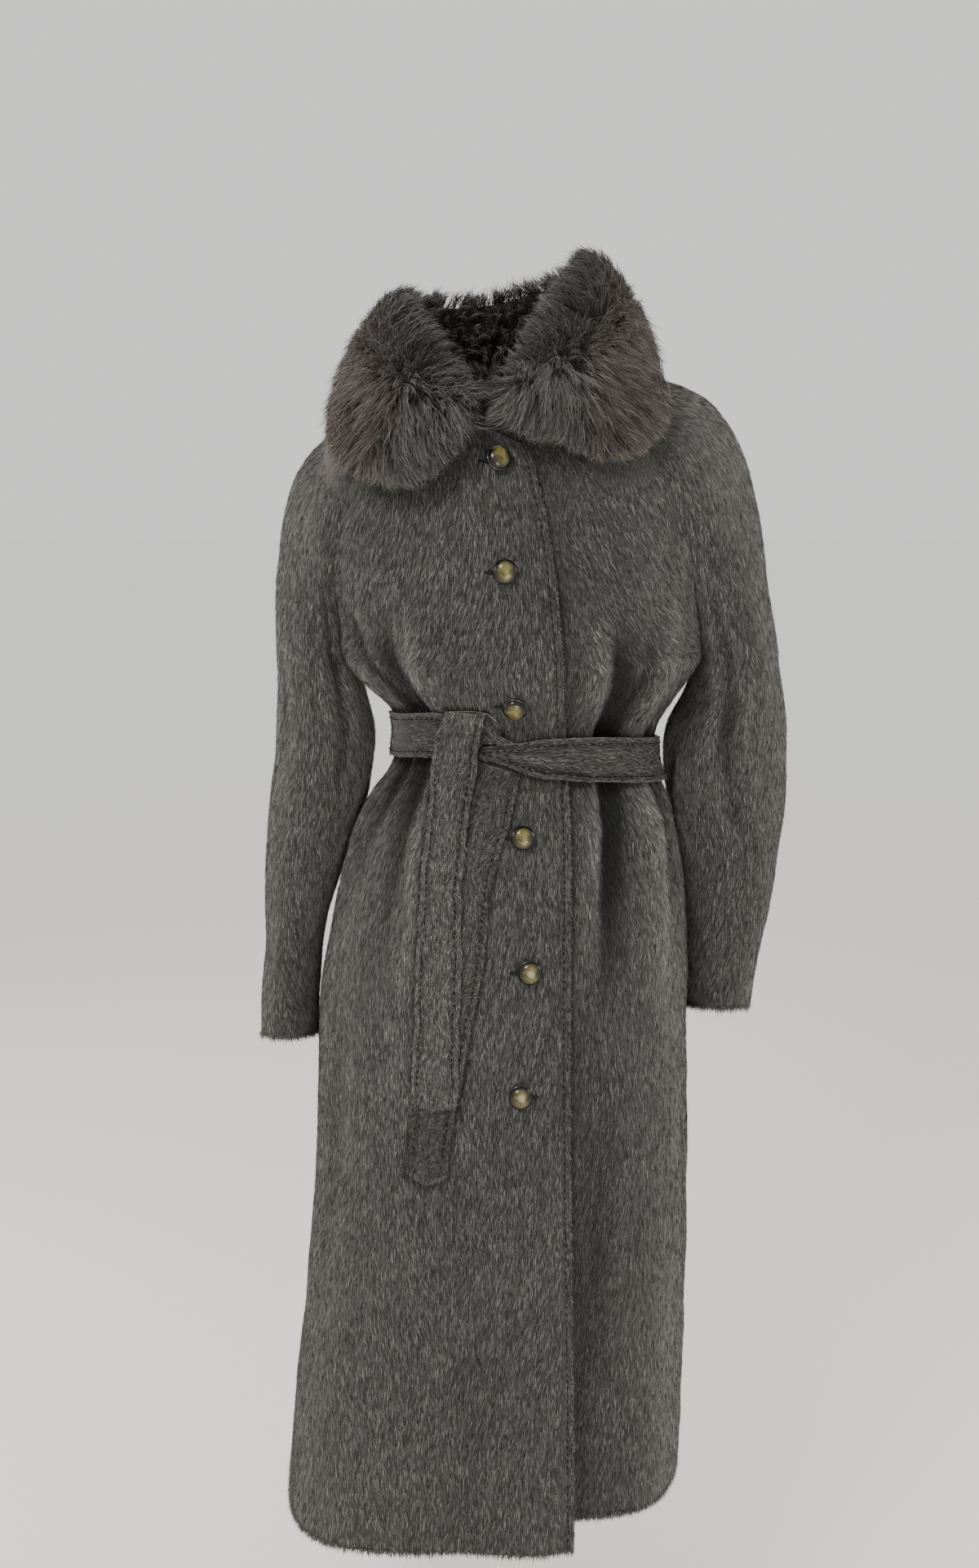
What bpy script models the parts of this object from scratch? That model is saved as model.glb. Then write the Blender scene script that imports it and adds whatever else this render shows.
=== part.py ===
"""A belted long coat of brushed alpaca cloth with raglan sleeves and a fur collar, in the pose in which it is worn.

Metres, +Z up. The front faces -Y and the wearer's left is +X. The origin is in the middle of the neck opening,
at the height of the shoulder points at the neck, where the wearer's shoulders carry the coat.
"""

import math

import bpy
import numpy as np
from mathutils import Matrix, Vector
from mathutils.bvhtree import BVHTree

WALL = 0.003  # brushed cloth, without its pile
SEAM_GAP = 0.0004
LAP_GAP = 0.0013  # between the two fronts where they lie on each other
LAP_TOP_LIFT = 0.001
FRONT_HEM = -1.203
LEFT_FRONT_HEM = -1.190
BACK_HEM = -1.203
UNDERARM = 8  # the raglan row at which the sleeve closes into a tube

BELT_THICK = 0.005
BELT_CLEAR = 0.0018

BUTTON_HEIGHT = 0.0105
BUTTON_CLEAR = 0.0004

# The colour and finish of each kind of piece.
LOOK_COLUMNS = "red green blue roughness sheen coat"
LOOKS = {
    "alpaca": (0.115, 0.110, 0.101, 0.95, 0.4, 0.0),
    "belt": (0.110, 0.105, 0.096, 0.95, 0.4, 0.0),
    "fox": (0.150, 0.130, 0.118, 0.90, 0.5, 0.0),
    "horn": (0.200, 0.160, 0.060, 0.15, 0.0, 1.0),
}

# The body's outer surface, one horizontal section in each row. The sections are round boxes: half widths to the
# image's left and right, depths to the front and back, and how square each corner is (2 is an ellipse).
BODY_COLUMNS = "z cx cy left right front back corner_left corner_right corner_back yaw"
BODY = (
    (-1.215, 0.000, -0.010, 0.226, 0.212, 0.184, 0.180, 4.2, 2.35, 2.3, 3.0),
    (-1.100, 0.003, -0.008, 0.219, 0.214, 0.178, 0.174, 3.6, 2.35, 2.3, 3.0),
    (-0.960, 0.007, -0.006, 0.207, 0.212, 0.170, 0.167, 3.0, 2.35, 2.3, 2.5),
    (-0.830, 0.012, -0.004, 0.201, 0.206, 0.160, 0.160, 2.6, 2.3, 2.3, 2.0),
    (-0.700, 0.014, -0.002, 0.198, 0.200, 0.151, 0.156, 2.5, 2.3, 2.3, 1.5),
    (-0.620, 0.016, 0.000, 0.193, 0.196, 0.146, 0.154, 2.4, 2.3, 2.3, 1.0),
    (-0.560, 0.021, 0.001, 0.184, 0.188, 0.141, 0.150, 2.4, 2.3, 2.3, 0.5),
    (-0.510, 0.025, 0.002, 0.173, 0.176, 0.136, 0.143, 2.3, 2.3, 2.2, 0.0),
    (-0.470, 0.029, 0.002, 0.162, 0.163, 0.130, 0.133, 2.3, 2.3, 2.2, 0.0),
    (-0.440, 0.033, 0.002, 0.151, 0.152, 0.121, 0.119, 2.2, 2.2, 2.2, 0.0),
    (-0.415, 0.036, 0.002, 0.139, 0.138, 0.111, 0.106, 2.2, 2.2, 2.2, 0.0),
    (-0.390, 0.037, 0.002, 0.134, 0.134, 0.108, 0.101, 2.2, 2.2, 2.2, 0.0),
    (-0.365, 0.039, 0.002, 0.136, 0.138, 0.110, 0.104, 2.2, 2.2, 2.2, 0.0),
    (-0.345, 0.041, 0.002, 0.146, 0.148, 0.120, 0.115, 2.2, 2.2, 2.2, 0.0),
    (-0.320, 0.040, 0.002, 0.164, 0.164, 0.133, 0.126, 2.2, 2.2, 2.2, 0.0),
    (-0.290, 0.037, 0.002, 0.183, 0.182, 0.141, 0.133, 2.2, 2.2, 2.2, 0.0),
    (-0.240, 0.033, 0.001, 0.193, 0.192, 0.143, 0.137, 2.3, 2.3, 2.3, 0.0),
    (-0.190, 0.027, 0.001, 0.198, 0.200, 0.139, 0.138, 2.3, 2.3, 2.3, 0.0),
    (-0.145, 0.020, 0.001, 0.195, 0.202, 0.131, 0.134, 2.3, 2.3, 2.3, 0.0),
    (-0.100, 0.014, 0.001, 0.180, 0.186, 0.118, 0.124, 2.3, 2.3, 2.3, 0.0),
    (-0.065, 0.009, 0.001, 0.155, 0.160, 0.103, 0.108, 2.2, 2.2, 2.2, 0.0),
    (-0.040, 0.006, 0.001, 0.126, 0.132, 0.092, 0.094, 2.1, 2.1, 2.1, 0.0),
    (-0.020, 0.003, 0.001, 0.098, 0.102, 0.084, 0.083, 2.0, 2.0, 2.0, 0.0),
    (0.010, 0.000, 0.001, 0.088, 0.088, 0.076, 0.074, 2.0, 2.0, 2.0, 0.0),
)

# Creases in the sleeves: where each runs down the arm, and its place round the sleeve in degrees from the inner
# side (90 is the front, 180 the outside) at its top, where it is deepest and at its end.
SLEEVE_FOLD_COLUMNS = "side z_top z_deep z_end turn_top turn_deep turn_end depth width"
SLEEVE_FOLDS = (
    (1, -0.205, -0.330, -0.500, 36.0, 74.0, 98.0, 0.010, 0.011),
    (1, -0.330, -0.420, -0.520, 300.0, 285.0, 262.0, 0.008, 0.012),
    (1, -0.360, -0.420, -0.490, 30.0, 12.0, 0.0, 0.005, 0.010),
    (-1, -0.170, -0.270, -0.420, 158.0, 146.0, 132.0, 0.007, 0.011),
    (-1, -0.200, -0.310, -0.430, 30.0, 52.0, 66.0, 0.009, 0.010),
    (-1, -0.330, -0.420, -0.520, 300.0, 285.0, 262.0, 0.008, 0.012),
)

# The right front lies on top. Its free edge and the line of the buttons, as positions across the front.
EDGE_COLUMNS = "z edge buttons"
EDGE = (
    (-1.215, 0.083, 0.040),
    (-0.900, 0.083, 0.040),
    (-0.600, 0.080, 0.038),
    (-0.440, 0.079, 0.033),
    (-0.335, 0.073, 0.025),
    (-0.257, 0.068, 0.020),
    (-0.187, 0.060, 0.014),
    (-0.150, 0.054, 0.011),
    (-0.115, 0.046, 0.008),
    (-0.095, 0.041, 0.006),
    (-0.075, 0.031, 0.004),
    (-0.050, 0.010, 0.002),
)
UNDERLAP = 0.045  # the left front reaches this far past the line of the buttons

# The neck edge of each front: shares of the way from the free edge to the raglan seam, and heights. The top corner
# of the right front is rounded off.
NECK_COLUMNS = "share z"
NECK_LINE = ((0.2, -0.064), (0.5, -0.053), (0.8, -0.040))
NECK_CORNER = -0.078

# Creases that the belt pulls into the cloth. angle is where each meets the belt, seen from above (-90 is the front),
# up_turn and down_turn are how far it drifts on its way, up and down are its lengths, above and below its depths.
# skew makes the side towards larger angles steeper, or the other side where it is negative.
FOLD_COLUMNS = "angle up_turn down_turn up down above below width skew"
FOLDS = (
    (-149.0, 8.0, 13.0, 0.190, 0.240, 0.027, 0.015, 0.014, 0.30),
    (-164.0, 6.0, 6.0, 0.080, 0.190, 0.010, 0.016, 0.013, 0.00),
    (-48.0, -8.0, -5.0, 0.190, 0.300, 0.024, 0.020, 0.013, -0.30),
    (-19.0, 4.0, 3.0, 0.090, 0.220, 0.010, 0.014, 0.013, 0.00),
    (28.0, -4.0, -3.0, 0.120, 0.200, 0.013, 0.013, 0.014, 0.20),
    (59.0, -6.0, -5.0, 0.180, 0.300, 0.020, 0.020, 0.015, -0.20),
    (84.0, 3.0, 3.0, 0.110, 0.190, 0.012, 0.012, 0.013, 0.00),
    (112.0, 7.0, 6.0, 0.170, 0.280, 0.020, 0.020, 0.015, 0.20),
    (146.0, 5.0, 5.0, 0.120, 0.200, 0.013, 0.013, 0.014, -0.20),
)
FOLD_LEVEL = -0.392
WAIST_REACH = 0.075  # how far above and below the belt the cloth is lifted with it

# Each sleeve's raglan seams and ridge from the neck (row 0) to the underarm (row 8): the front seam, the ridge over
# the shoulder and down the outside of the arm, and the back seam.
RAGLAN_COLUMNS = "row fx fy fz tx ty tz bx by bz"
RAGLAN_LEFT = (
    (0, 0.082, -0.036, -0.024, 0.080, 0.012, -0.001, 0.068, 0.055, -0.014),
    (1, 0.112, -0.062, -0.042, 0.112, 0.012, -0.004, 0.098, 0.078, -0.036),
    (2, 0.141, -0.082, -0.068, 0.150, 0.010, -0.009, 0.130, 0.098, -0.064),
    (3, 0.165, -0.093, -0.102, 0.188, 0.008, -0.017, 0.157, 0.109, -0.100),
    (4, 0.183, -0.093, -0.145, 0.226, 0.006, -0.038, 0.178, 0.110, -0.145),
    (5, 0.197, -0.080, -0.190, 0.256, 0.005, -0.080, 0.194, 0.097, -0.190),
    (6, 0.208, -0.055, -0.232, 0.274, 0.005, -0.142, 0.206, 0.070, -0.232),
    (7, 0.216, -0.025, -0.266, 0.286, 0.006, -0.212, 0.215, 0.038, -0.266),
    (8, 0.220, 0.006, -0.290, 0.297, 0.008, -0.282, 0.220, 0.006, -0.290),
)
RAGLAN_RIGHT = (
    (0, -0.078, -0.036, -0.028, -0.080, 0.012, -0.006, -0.066, 0.055, -0.018),
    (1, -0.100, -0.062, -0.052, -0.106, 0.012, -0.021, -0.090, 0.078, -0.045),
    (2, -0.120, -0.082, -0.084, -0.134, 0.010, -0.042, -0.112, 0.098, -0.078),
    (3, -0.136, -0.092, -0.122, -0.160, 0.008, -0.064, -0.130, 0.109, -0.118),
    (4, -0.147, -0.090, -0.165, -0.183, 0.006, -0.086, -0.143, 0.109, -0.163),
    (5, -0.152, -0.076, -0.205, -0.200, 0.005, -0.114, -0.150, 0.094, -0.204),
    (6, -0.153, -0.052, -0.243, -0.212, 0.005, -0.160, -0.152, 0.068, -0.242),
    (7, -0.151, -0.024, -0.273, -0.218, 0.006, -0.218, -0.151, 0.036, -0.272),
    (8, -0.147, 0.006, -0.290, -0.219, 0.008, -0.285, -0.147, 0.006, -0.290),
)

# The sleeve tubes below the underarm: outer and inner edge seen from the front, middle from the side, radii to the
# front and back, and how much lower the back of each ring hangs than its front.
TUBE_COLUMNS = "z outer inner cy front back slope"
TUBE_LEFT = (
    (-0.286, 0.2970, 0.2200, 0.008, 0.088, 0.092, 0.00),
    (-0.330, 0.3070, 0.2090, 0.012, 0.083, 0.087, 0.00),
    (-0.370, 0.3140, 0.1900, 0.018, 0.078, 0.080, 0.02),
    (-0.412, 0.3170, 0.1880, 0.024, 0.074, 0.075, 0.05),
    (-0.455, 0.3170, 0.1945, 0.028, 0.070, 0.071, 0.08),
    (-0.500, 0.3145, 0.2055, 0.030, 0.067, 0.068, 0.12),
    (-0.550, 0.3080, 0.2140, 0.030, 0.064, 0.064, 0.17),
    (-0.600, 0.2990, 0.2180, 0.029, 0.061, 0.061, 0.22),
    (-0.650, 0.2910, 0.2190, 0.028, 0.059, 0.059, 0.25),
    (-0.684, 0.2860, 0.2190, 0.028, 0.058, 0.058, 0.26),
)
TUBE_RIGHT = (
    (-0.288, -0.2190, -0.1470, 0.008, 0.086, 0.090, 0.00),
    (-0.330, -0.2210, -0.1330, 0.012, 0.082, 0.085, 0.00),
    (-0.370, -0.2245, -0.1240, 0.018, 0.078, 0.080, 0.02),
    (-0.412, -0.2300, -0.1270, 0.024, 0.074, 0.075, 0.05),
    (-0.455, -0.2365, -0.1350, 0.028, 0.070, 0.071, 0.08),
    (-0.500, -0.2415, -0.1520, 0.030, 0.067, 0.068, 0.12),
    (-0.550, -0.2435, -0.1700, 0.030, 0.064, 0.064, 0.17),
    (-0.600, -0.2445, -0.1830, 0.029, 0.061, 0.061, 0.21),
    (-0.660, -0.2490, -0.1900, 0.028, 0.059, 0.059, 0.24),
    (-0.716, -0.2530, -0.1920, 0.028, 0.058, 0.058, 0.25),
)


def smooth_rows(table, at):
    """The table's columns at each position in its first column, on a smooth curve through the rows."""
    rows = np.array(table, float)
    at = np.asarray(at, float)
    knots, values = rows[:, 0], rows[:, 1:]
    slopes = np.gradient(values, knots, axis=0)
    low = np.clip(np.searchsorted(knots, at, side="right") - 1, 0, len(knots) - 2)
    span = knots[low + 1] - knots[low]
    t = ((at - knots[low]) / span)[..., None]
    span = span[..., None]
    start = (1 + 2 * t) * (1 - t) ** 2 * values[low] + t * (1 - t) ** 2 * span * slopes[low]
    end = t * t * (3 - 2 * t) * values[low + 1] + t * t * (t - 1) * span * slopes[low + 1]
    return start + end


def smoothstep(value, low, high):
    t = np.clip((value - low) / (high - low), 0, 1)
    return t * t * (3 - 2 * t)


def unit(vectors):
    length = np.linalg.norm(vectors, axis=-1, keepdims=True)
    return vectors / np.maximum(length, 1e-12)


def fold_depth(angle, z, radius):
    """How far the creases pull the cloth in at an angle (radians) and height."""
    depth = np.zeros(np.broadcast(angle, z).shape)
    rise = z - FOLD_LEVEL
    for fold_angle, up_turn, down_turn, up, down, above, below, width, skew in FOLDS:
        share = np.clip(np.where(rise > 0, rise / up, -rise / down), 0, 1)
        turn = np.where(rise > 0, up_turn, down_turn) * np.sqrt(share)
        off = np.angle(np.exp(1j * (angle - np.radians(fold_angle + turn)))) * radius
        spread = width * (1 - skew * np.sign(off)) * (1 + 0.9 * share)
        reach = np.abs(off) / spread
        deepest = below + (above - below) * smoothstep(rise, -0.025, 0.025)
        ridge = 0.36 * smoothstep(np.abs(rise), 0.030, 0.075)
        profile = np.exp(-(reach**2)) - ridge * np.exp(-(((reach - 2.1) / 0.8) ** 2))
        depth += deepest * (1 - share) ** 1.25 * profile
    return depth


def waist_lift(angle, z):
    """How far the narrow waist is lifted at an angle (radians): it follows the belt."""
    degrees = np.degrees(np.angle(np.exp(1j * angle)))
    rise = smooth_rows(BELT_EDGES, degrees)[..., 0]
    return rise * np.exp(-(((z - FOLD_LEVEL) / WAIST_REACH) ** 2))


def body_radius(angle, z, folds=True):
    """Distance from the section's middle to the outer surface."""
    z = z - waist_lift(angle, z)
    _, _, left, right, front, back, corner_l, corner_r, corner_b, yaw = np.moveaxis(smooth_rows(BODY, z), -1, 0)
    local = angle - np.radians(yaw)
    across, along = np.cos(local), np.sin(local)
    side = np.where(across < 0, left, right)
    reach = np.where(along < 0, front, back)
    corner = np.where(along < 0, np.where(across < 0, corner_l, corner_r), corner_b)
    radius = ((np.abs(across) / side) ** corner + (np.abs(along) / reach) ** corner) ** (-1 / corner)
    if folds:
        radius = radius - fold_depth(angle, z, radius)
    return radius


def body_middle(z):
    return smooth_rows(BODY, z)[..., 0:2]


def body_point(angle, z, out=0.0, folds=True):
    radius = body_radius(angle, z, folds) + out
    middle = body_middle(z)
    x = middle[..., 0] + radius * np.cos(angle)
    y = middle[..., 1] + radius * np.sin(angle)
    return np.stack([x, y, np.broadcast_to(z, x.shape)], -1)


def front_angle(x, z, out=0.0):
    """The angle at which the front of the section, or a surface that far out from it, lies at x."""
    low = np.full(np.shape(x), -math.pi)
    high = np.zeros(np.shape(x))
    for _ in range(40):
        middle = (low + high) / 2
        beyond = body_point(middle, z, out, folds=False)[..., 0] > x
        high = np.where(beyond, middle, high)
        low = np.where(beyond, low, middle)
    return (low + high) / 2


def raglan_rows(table, count):
    """The raglan table's columns at evenly spaced rows, count of them from the neck to the underarm."""
    return smooth_rows(table, np.linspace(0, UNDERARM, count))


def seam_polar(points):
    """Angle and distance of seam points from the middle of their sections."""
    flat = points[..., 0:2] - body_middle(points[..., 2])
    return np.arctan2(flat[..., 1], flat[..., 0]), np.hypot(flat[..., 0], flat[..., 1])


def side_angle(side, z, at_underarm):
    """The side seam's angle below the underarm, easing from the underarm point to the seam's line."""
    base = 0.0 if side > 0 else math.pi
    line = base + side * np.radians(4.0)
    ease = smoothstep(z, -0.60, -0.29)
    return line + (at_underarm - line) * ease


def lap_edge_lift(off_edge, z, top_layer):
    """How far the two fronts stand apart: the top one lifts at its free edge, the lower one lies in below it."""
    flare = smoothstep(-z, 0.75, 1.20)
    if top_layer:
        return (LAP_TOP_LIFT + 0.010 * flare) * (1 - smoothstep(off_edge, 0.02, 0.10))
    inset = WALL + LAP_GAP + 0.016 * flare + 0.003 * smoothstep(z, -0.17, -0.10)
    return -inset * (1 - smoothstep(off_edge, 0.004, 0.055 + 0.03 * flare))


def panel_rows(hem, top, seam, steps):
    """Row heights of a panel: steps of the way from the hem to the underarm, then as the raglan seam rises."""
    underarm_z = seam[-1, 2]
    steps = np.asarray(steps)
    lower = hem[:, None] + (underarm_z - hem)[:, None] * steps
    climb = (seam[::-1, 2] - underarm_z) / (seam[0, 2] - underarm_z)
    upper = underarm_z + (top[:, None] - underarm_z) * climb
    return np.concatenate([lower, upper[:, 1:]], axis=1).T


def front_panel(side, shares, steps, upper_count):
    """Outer surface of a front, rows from hem to neck and columns from the free edge to the side and raglan seam."""
    table = RAGLAN_LEFT if side > 0 else RAGLAN_RIGHT
    seam = raglan_rows(table, upper_count)[:, 0:3]
    top_layer = side < 0
    hem_z = FRONT_HEM if top_layer else LEFT_FRONT_HEM
    share = np.asarray(shares, float)
    hem = hem_z + (FRONT_HEM - hem_z) * smoothstep(share, 0.3, 1.0)
    corner = NECK_CORNER if top_layer else NECK_LINE[0][1]
    neck_line = [(0.0, corner), *NECK_LINE, (1.0, seam[0, 2])]
    top = smooth_rows(neck_line, share)[:, 0]
    z = panel_rows(hem, top, seam, steps)
    lower_count = len(steps)
    edge_rows = smooth_rows(EDGE, z[:, 0])
    edge_x = edge_rows[:, 0] if top_layer else edge_rows[:, 1] - UNDERLAP
    edge_angle = front_angle(edge_x, z[:, 0])
    seam_angle, seam_reach = seam_polar(seam[::-1])
    seam_angle = np.where(seam_angle > math.pi / 2, seam_angle - 2 * math.pi, seam_angle)
    underarm_angle = seam_angle[0] if side > 0 else seam_angle[0] + 2 * math.pi
    below = side_angle(side, z[:lower_count, -1], underarm_angle)
    if side < 0:
        below = below - 2 * math.pi
    end_angle = np.concatenate([below, seam_angle[1:]])
    miss_above = seam_reach - body_radius(seam_angle, seam[::-1, 2])
    fade = smoothstep(z[:lower_count, -1], -0.40, -0.29)
    miss = np.concatenate([miss_above[0] * fade, miss_above[1:]])
    angle = edge_angle[:, None] + (end_angle - edge_angle)[:, None] * share
    lap_angle = front_angle(smooth_rows(EDGE, z[:, 0])[:, 0], z[:, 0])
    off_edge = (angle - lap_angle[:, None]) * side * 0.15
    if top_layer:
        off_edge = (lap_angle[:, None] - angle) * 0.15
    out = lap_edge_lift(off_edge, z, top_layer) + miss[:, None] * share**2
    return body_point(angle, z, out)


def back_panel(shares, steps, upper_count):
    """Outer surface of the back, rows from hem to neck and columns from the left side seam to the right one."""
    seam_l = raglan_rows(RAGLAN_LEFT, upper_count)[:, 6:9]
    seam_r = raglan_rows(RAGLAN_RIGHT, upper_count)[:, 6:9]
    share = np.asarray(shares, float)
    lower_count = len(steps)
    angles, misses, heights = [], [], []
    for side, seam in ((1, seam_l), (-1, seam_r)):
        z = panel_rows(np.array([BACK_HEM]), np.array([seam[0, 2]]), seam, steps)[:, 0]
        seam_angle, seam_reach = seam_polar(seam[::-1])
        below = side_angle(side, z[:lower_count], seam_angle[0])
        miss_above = seam_reach - body_radius(seam_angle, seam[::-1, 2])
        fade = smoothstep(z[:lower_count], -0.40, -0.29)
        angles.append(np.concatenate([below, seam_angle[1:]]))
        misses.append(np.concatenate([miss_above[0] * fade, miss_above[1:]]))
        heights.append(z)
    z = heights[0][:, None] * (1 - share) + heights[1][:, None] * share
    rise = smoothstep(z, -0.29, -0.02)
    z = z + rise * 0.006 * np.sin(math.pi * share)
    angle = angles[0][:, None] * (1 - share) + angles[1][:, None] * share
    out = misses[0][:, None] * (1 - share) ** 4 + misses[1][:, None] * share**4
    return body_point(angle, z, out)


def raglan_arcs(table, front_inward, back_inward, around):
    """The sleeve's rows from neck to underarm, each an arc from the front seam over the ridge to the back seam.

    The inward arguments are the directions in which the neighbouring panels run away from each seam.
    """
    count = len(front_inward)
    rows = raglan_rows(table, count)
    front, ridge, back = rows[:, 0:3], rows[:, 3:6], rows[:, 6:9]
    closing = smoothstep(np.linspace(0, 1, count), 0.30, 1.0)[:, None]
    tube = (TUBE_LEFT if table is RAGLAN_LEFT else TUBE_RIGHT)[0]
    arcs = []
    plan = ((front, front_inward, -1.0, tube[4]), (back, back_inward, 1.0, tube[5]))
    for seam, inward, forward, reach in plan:
        away = unit(-inward)
        away[:, 1] = forward * np.maximum(forward * away[:, 1], -0.15)
        bulge = np.array([0.0, forward, 0.0])
        gap_y = np.abs(ridge[:, 1] - seam[:, 1])[:, None]
        gap_up = np.linalg.norm((ridge - seam)[:, [0, 2]], axis=1)[:, None]
        widest = tube[3] + forward * (reach + 0.010 * (1 - closing[:, 0]))
        level = (seam[:, 1] + ridge[:, 1]) / 2
        forwards = closing * np.abs(widest - level)[:, None] / 0.75
        handle_a = seam + away * 0.55 * gap_up * (1 - closing) + bulge * forwards
        handle_b = ridge + bulge * (0.55 * gap_y * (1 - closing) + forwards)
        t = np.linspace(0, 1, around)[None, :, None]
        curve = (
            (1 - t) ** 3 * seam[:, None]
            + 3 * (1 - t) ** 2 * t * handle_a[:, None]
            + 3 * (1 - t) * t**2 * handle_b[:, None]
            + t**3 * ridge[:, None]
        )
        arcs.append(curve)
    return np.concatenate([arcs[0], arcs[1][:, ::-1][:, 1:]], axis=1)


def sleeve_tube(table, around, count):
    """Closed rows below the underarm, from the inner seam round the front, the outside and the back to the seam."""
    z_rows = np.linspace(table[0][0], table[-1][0], count + 1)[1:]
    rows = smooth_rows(table[::-1], z_rows)
    outer, inner, cy, front, back, slope = np.moveaxis(rows[:, None, :], -1, 0)
    turn = np.linspace(0, 2 * math.pi, 2 * around - 1)[None, :]
    middle, half = (outer + inner) / 2, (outer - inner) / 2
    x = middle - half * np.cos(turn)
    y_reach = np.where(np.sin(turn) > 0, front, back)
    y = cy - y_reach * np.sin(turn)
    z = z_rows[:, None] - slope * (y - cy)
    return np.stack([x, y, z], -1)


def sleeve_grid(side, arcs, around, count):
    """All the sleeve's rows, with its creases pressed in towards the middle of each ring."""
    table = TUBE_LEFT if side > 0 else TUBE_RIGHT
    tube = sleeve_tube(table, around, count)
    grid = np.concatenate([arcs, tube], axis=0)
    turn = np.linspace(0, 360, grid.shape[1])
    middle = grid[:, :-1].mean(axis=1, keepdims=True)
    inwards = unit(middle - grid)
    z = grid[..., 2]
    press = np.zeros(z.shape)
    for arm, z_top, z_deep, z_end, turn_top, turn_deep, turn_end, depth, width in SLEEVE_FOLDS:
        if arm != side:
            continue
        line = np.interp(z, (z_end, z_deep, z_top), (turn_end, turn_deep, turn_top))
        strength = np.interp(z, (z_end, z_deep, z_top), (0.0, 1.0, 0.0))
        reach = np.radians(turn - line) * 0.068 / width
        profile = np.exp(-(reach**2)) - 0.35 * np.exp(-(((np.abs(reach) - 2.0) / 0.8) ** 2))
        press += depth * strength * (2 - strength) * profile
    edge = np.minimum(np.arange(grid.shape[1]), np.arange(grid.shape[1])[::-1])
    fade = np.where(np.arange(len(grid))[:, None] < UPPER_ROWS, np.clip(edge / 3, 0, 1), 1.0)
    return grid + inwards * (press * fade)[..., None]


def grid_normals(grid, outward, closed_from=None):
    """Unit normals of a grid, pointing to the side that outward (a function of the points) gives."""
    along = np.gradient(grid, axis=0)
    across = np.gradient(grid, axis=1)
    if closed_from is not None:
        wrap = grid[closed_from:, 1] - grid[closed_from:, -2]
        across[closed_from:, 0] = wrap
        across[closed_from:, -1] = wrap
    normals = unit(np.cross(across, along))
    flip = np.sign(np.sum(normals * outward(grid), -1, keepdims=True).mean())
    return normals * flip


def parted(here, there):
    """The direction in which a seam's edge moves away from the other piece: along its own surface and away from the
    other's, so that it also parts two surfaces that run side by side from a crease. Each is a pair of columns."""
    own = unit(here[1] - here[0])
    other = unit(there[1] - there[0])
    return unit(own - other)


def wall_object(name, outer, normals, look, collection, thick=WALL, closed_from=None):
    """A cloth wall from its outer points: the same points moved in by the cloth's thickness, closed round the rim."""
    inner = outer - normals * thick
    rows, columns = outer.shape[:2]
    index = np.arange(rows * columns).reshape(rows, columns)
    points = np.concatenate([outer.reshape(-1, 3), inner.reshape(-1, 3)])
    front, back = index.copy(), index + rows * columns
    if closed_from is not None:
        front[closed_from:, -1] = front[closed_from:, 0]
        back[closed_from:, -1] = back[closed_from:, 0]
    faces = []
    for r in range(rows - 1):
        for c in range(columns - 1):
            faces.append((front[r, c], front[r, c + 1], front[r + 1, c + 1], front[r + 1, c]))
            faces.append((back[r, c], back[r + 1, c], back[r + 1, c + 1], back[r, c + 1]))
    for c in range(columns - 1):
        faces.append((front[0, c], back[0, c], back[0, c + 1], front[0, c + 1]))
        faces.append((front[-1, c + 1], back[-1, c + 1], back[-1, c], front[-1, c]))
    open_rows = rows - 1 if closed_from is None else closed_from
    for r in range(open_rows):
        faces.append((front[r + 1, 0], back[r + 1, 0], back[r, 0], front[r, 0]))
        faces.append((front[r, -1], back[r, -1], back[r + 1, -1], front[r + 1, -1]))
    return mesh_object(name, points, faces, look, collection)


def material_of(node, look):
    """The material of one node, with the colour and finish of its kind."""
    red, green, blue, rough, sheen, coat = LOOKS[look]
    made = bpy.data.materials.new(f"{look}_{node}")
    made.use_nodes = True
    shader = made.node_tree.nodes["Principled BSDF"]
    shader.inputs["Base Color"].default_value = (red, green, blue, 1.0)
    shader.inputs["Roughness"].default_value = rough
    shader.inputs["Metallic"].default_value = 0.0
    shader.inputs["Sheen Weight"].default_value = sheen
    shader.inputs["Coat Weight"].default_value = coat
    return made


def mesh_object(name, points, faces, look, collection):
    used = sorted({int(i) for face in faces for i in face})
    renumber = {old: new for new, old in enumerate(used)}
    mesh = bpy.data.meshes.new(name)
    mesh.from_pydata([tuple(points[i]) for i in used], [], [[renumber[int(i)] for i in face] for face in faces])
    if mesh_volume(mesh) < 0:
        mesh.flip_normals()
    mesh.shade_smooth()
    mesh.set_sharp_from_angle(angle=math.radians(50))
    mesh.materials.append(material_of(name, look))
    made = bpy.data.objects.new(name, mesh)
    collection.objects.link(made)
    return made


def mesh_volume(mesh):
    mesh.calc_loop_triangles()
    points = np.array([v.co for v in mesh.vertices])
    corners = np.array([t.vertices for t in mesh.loop_triangles])
    return float(np.linalg.det(points[corners]).sum())


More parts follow.
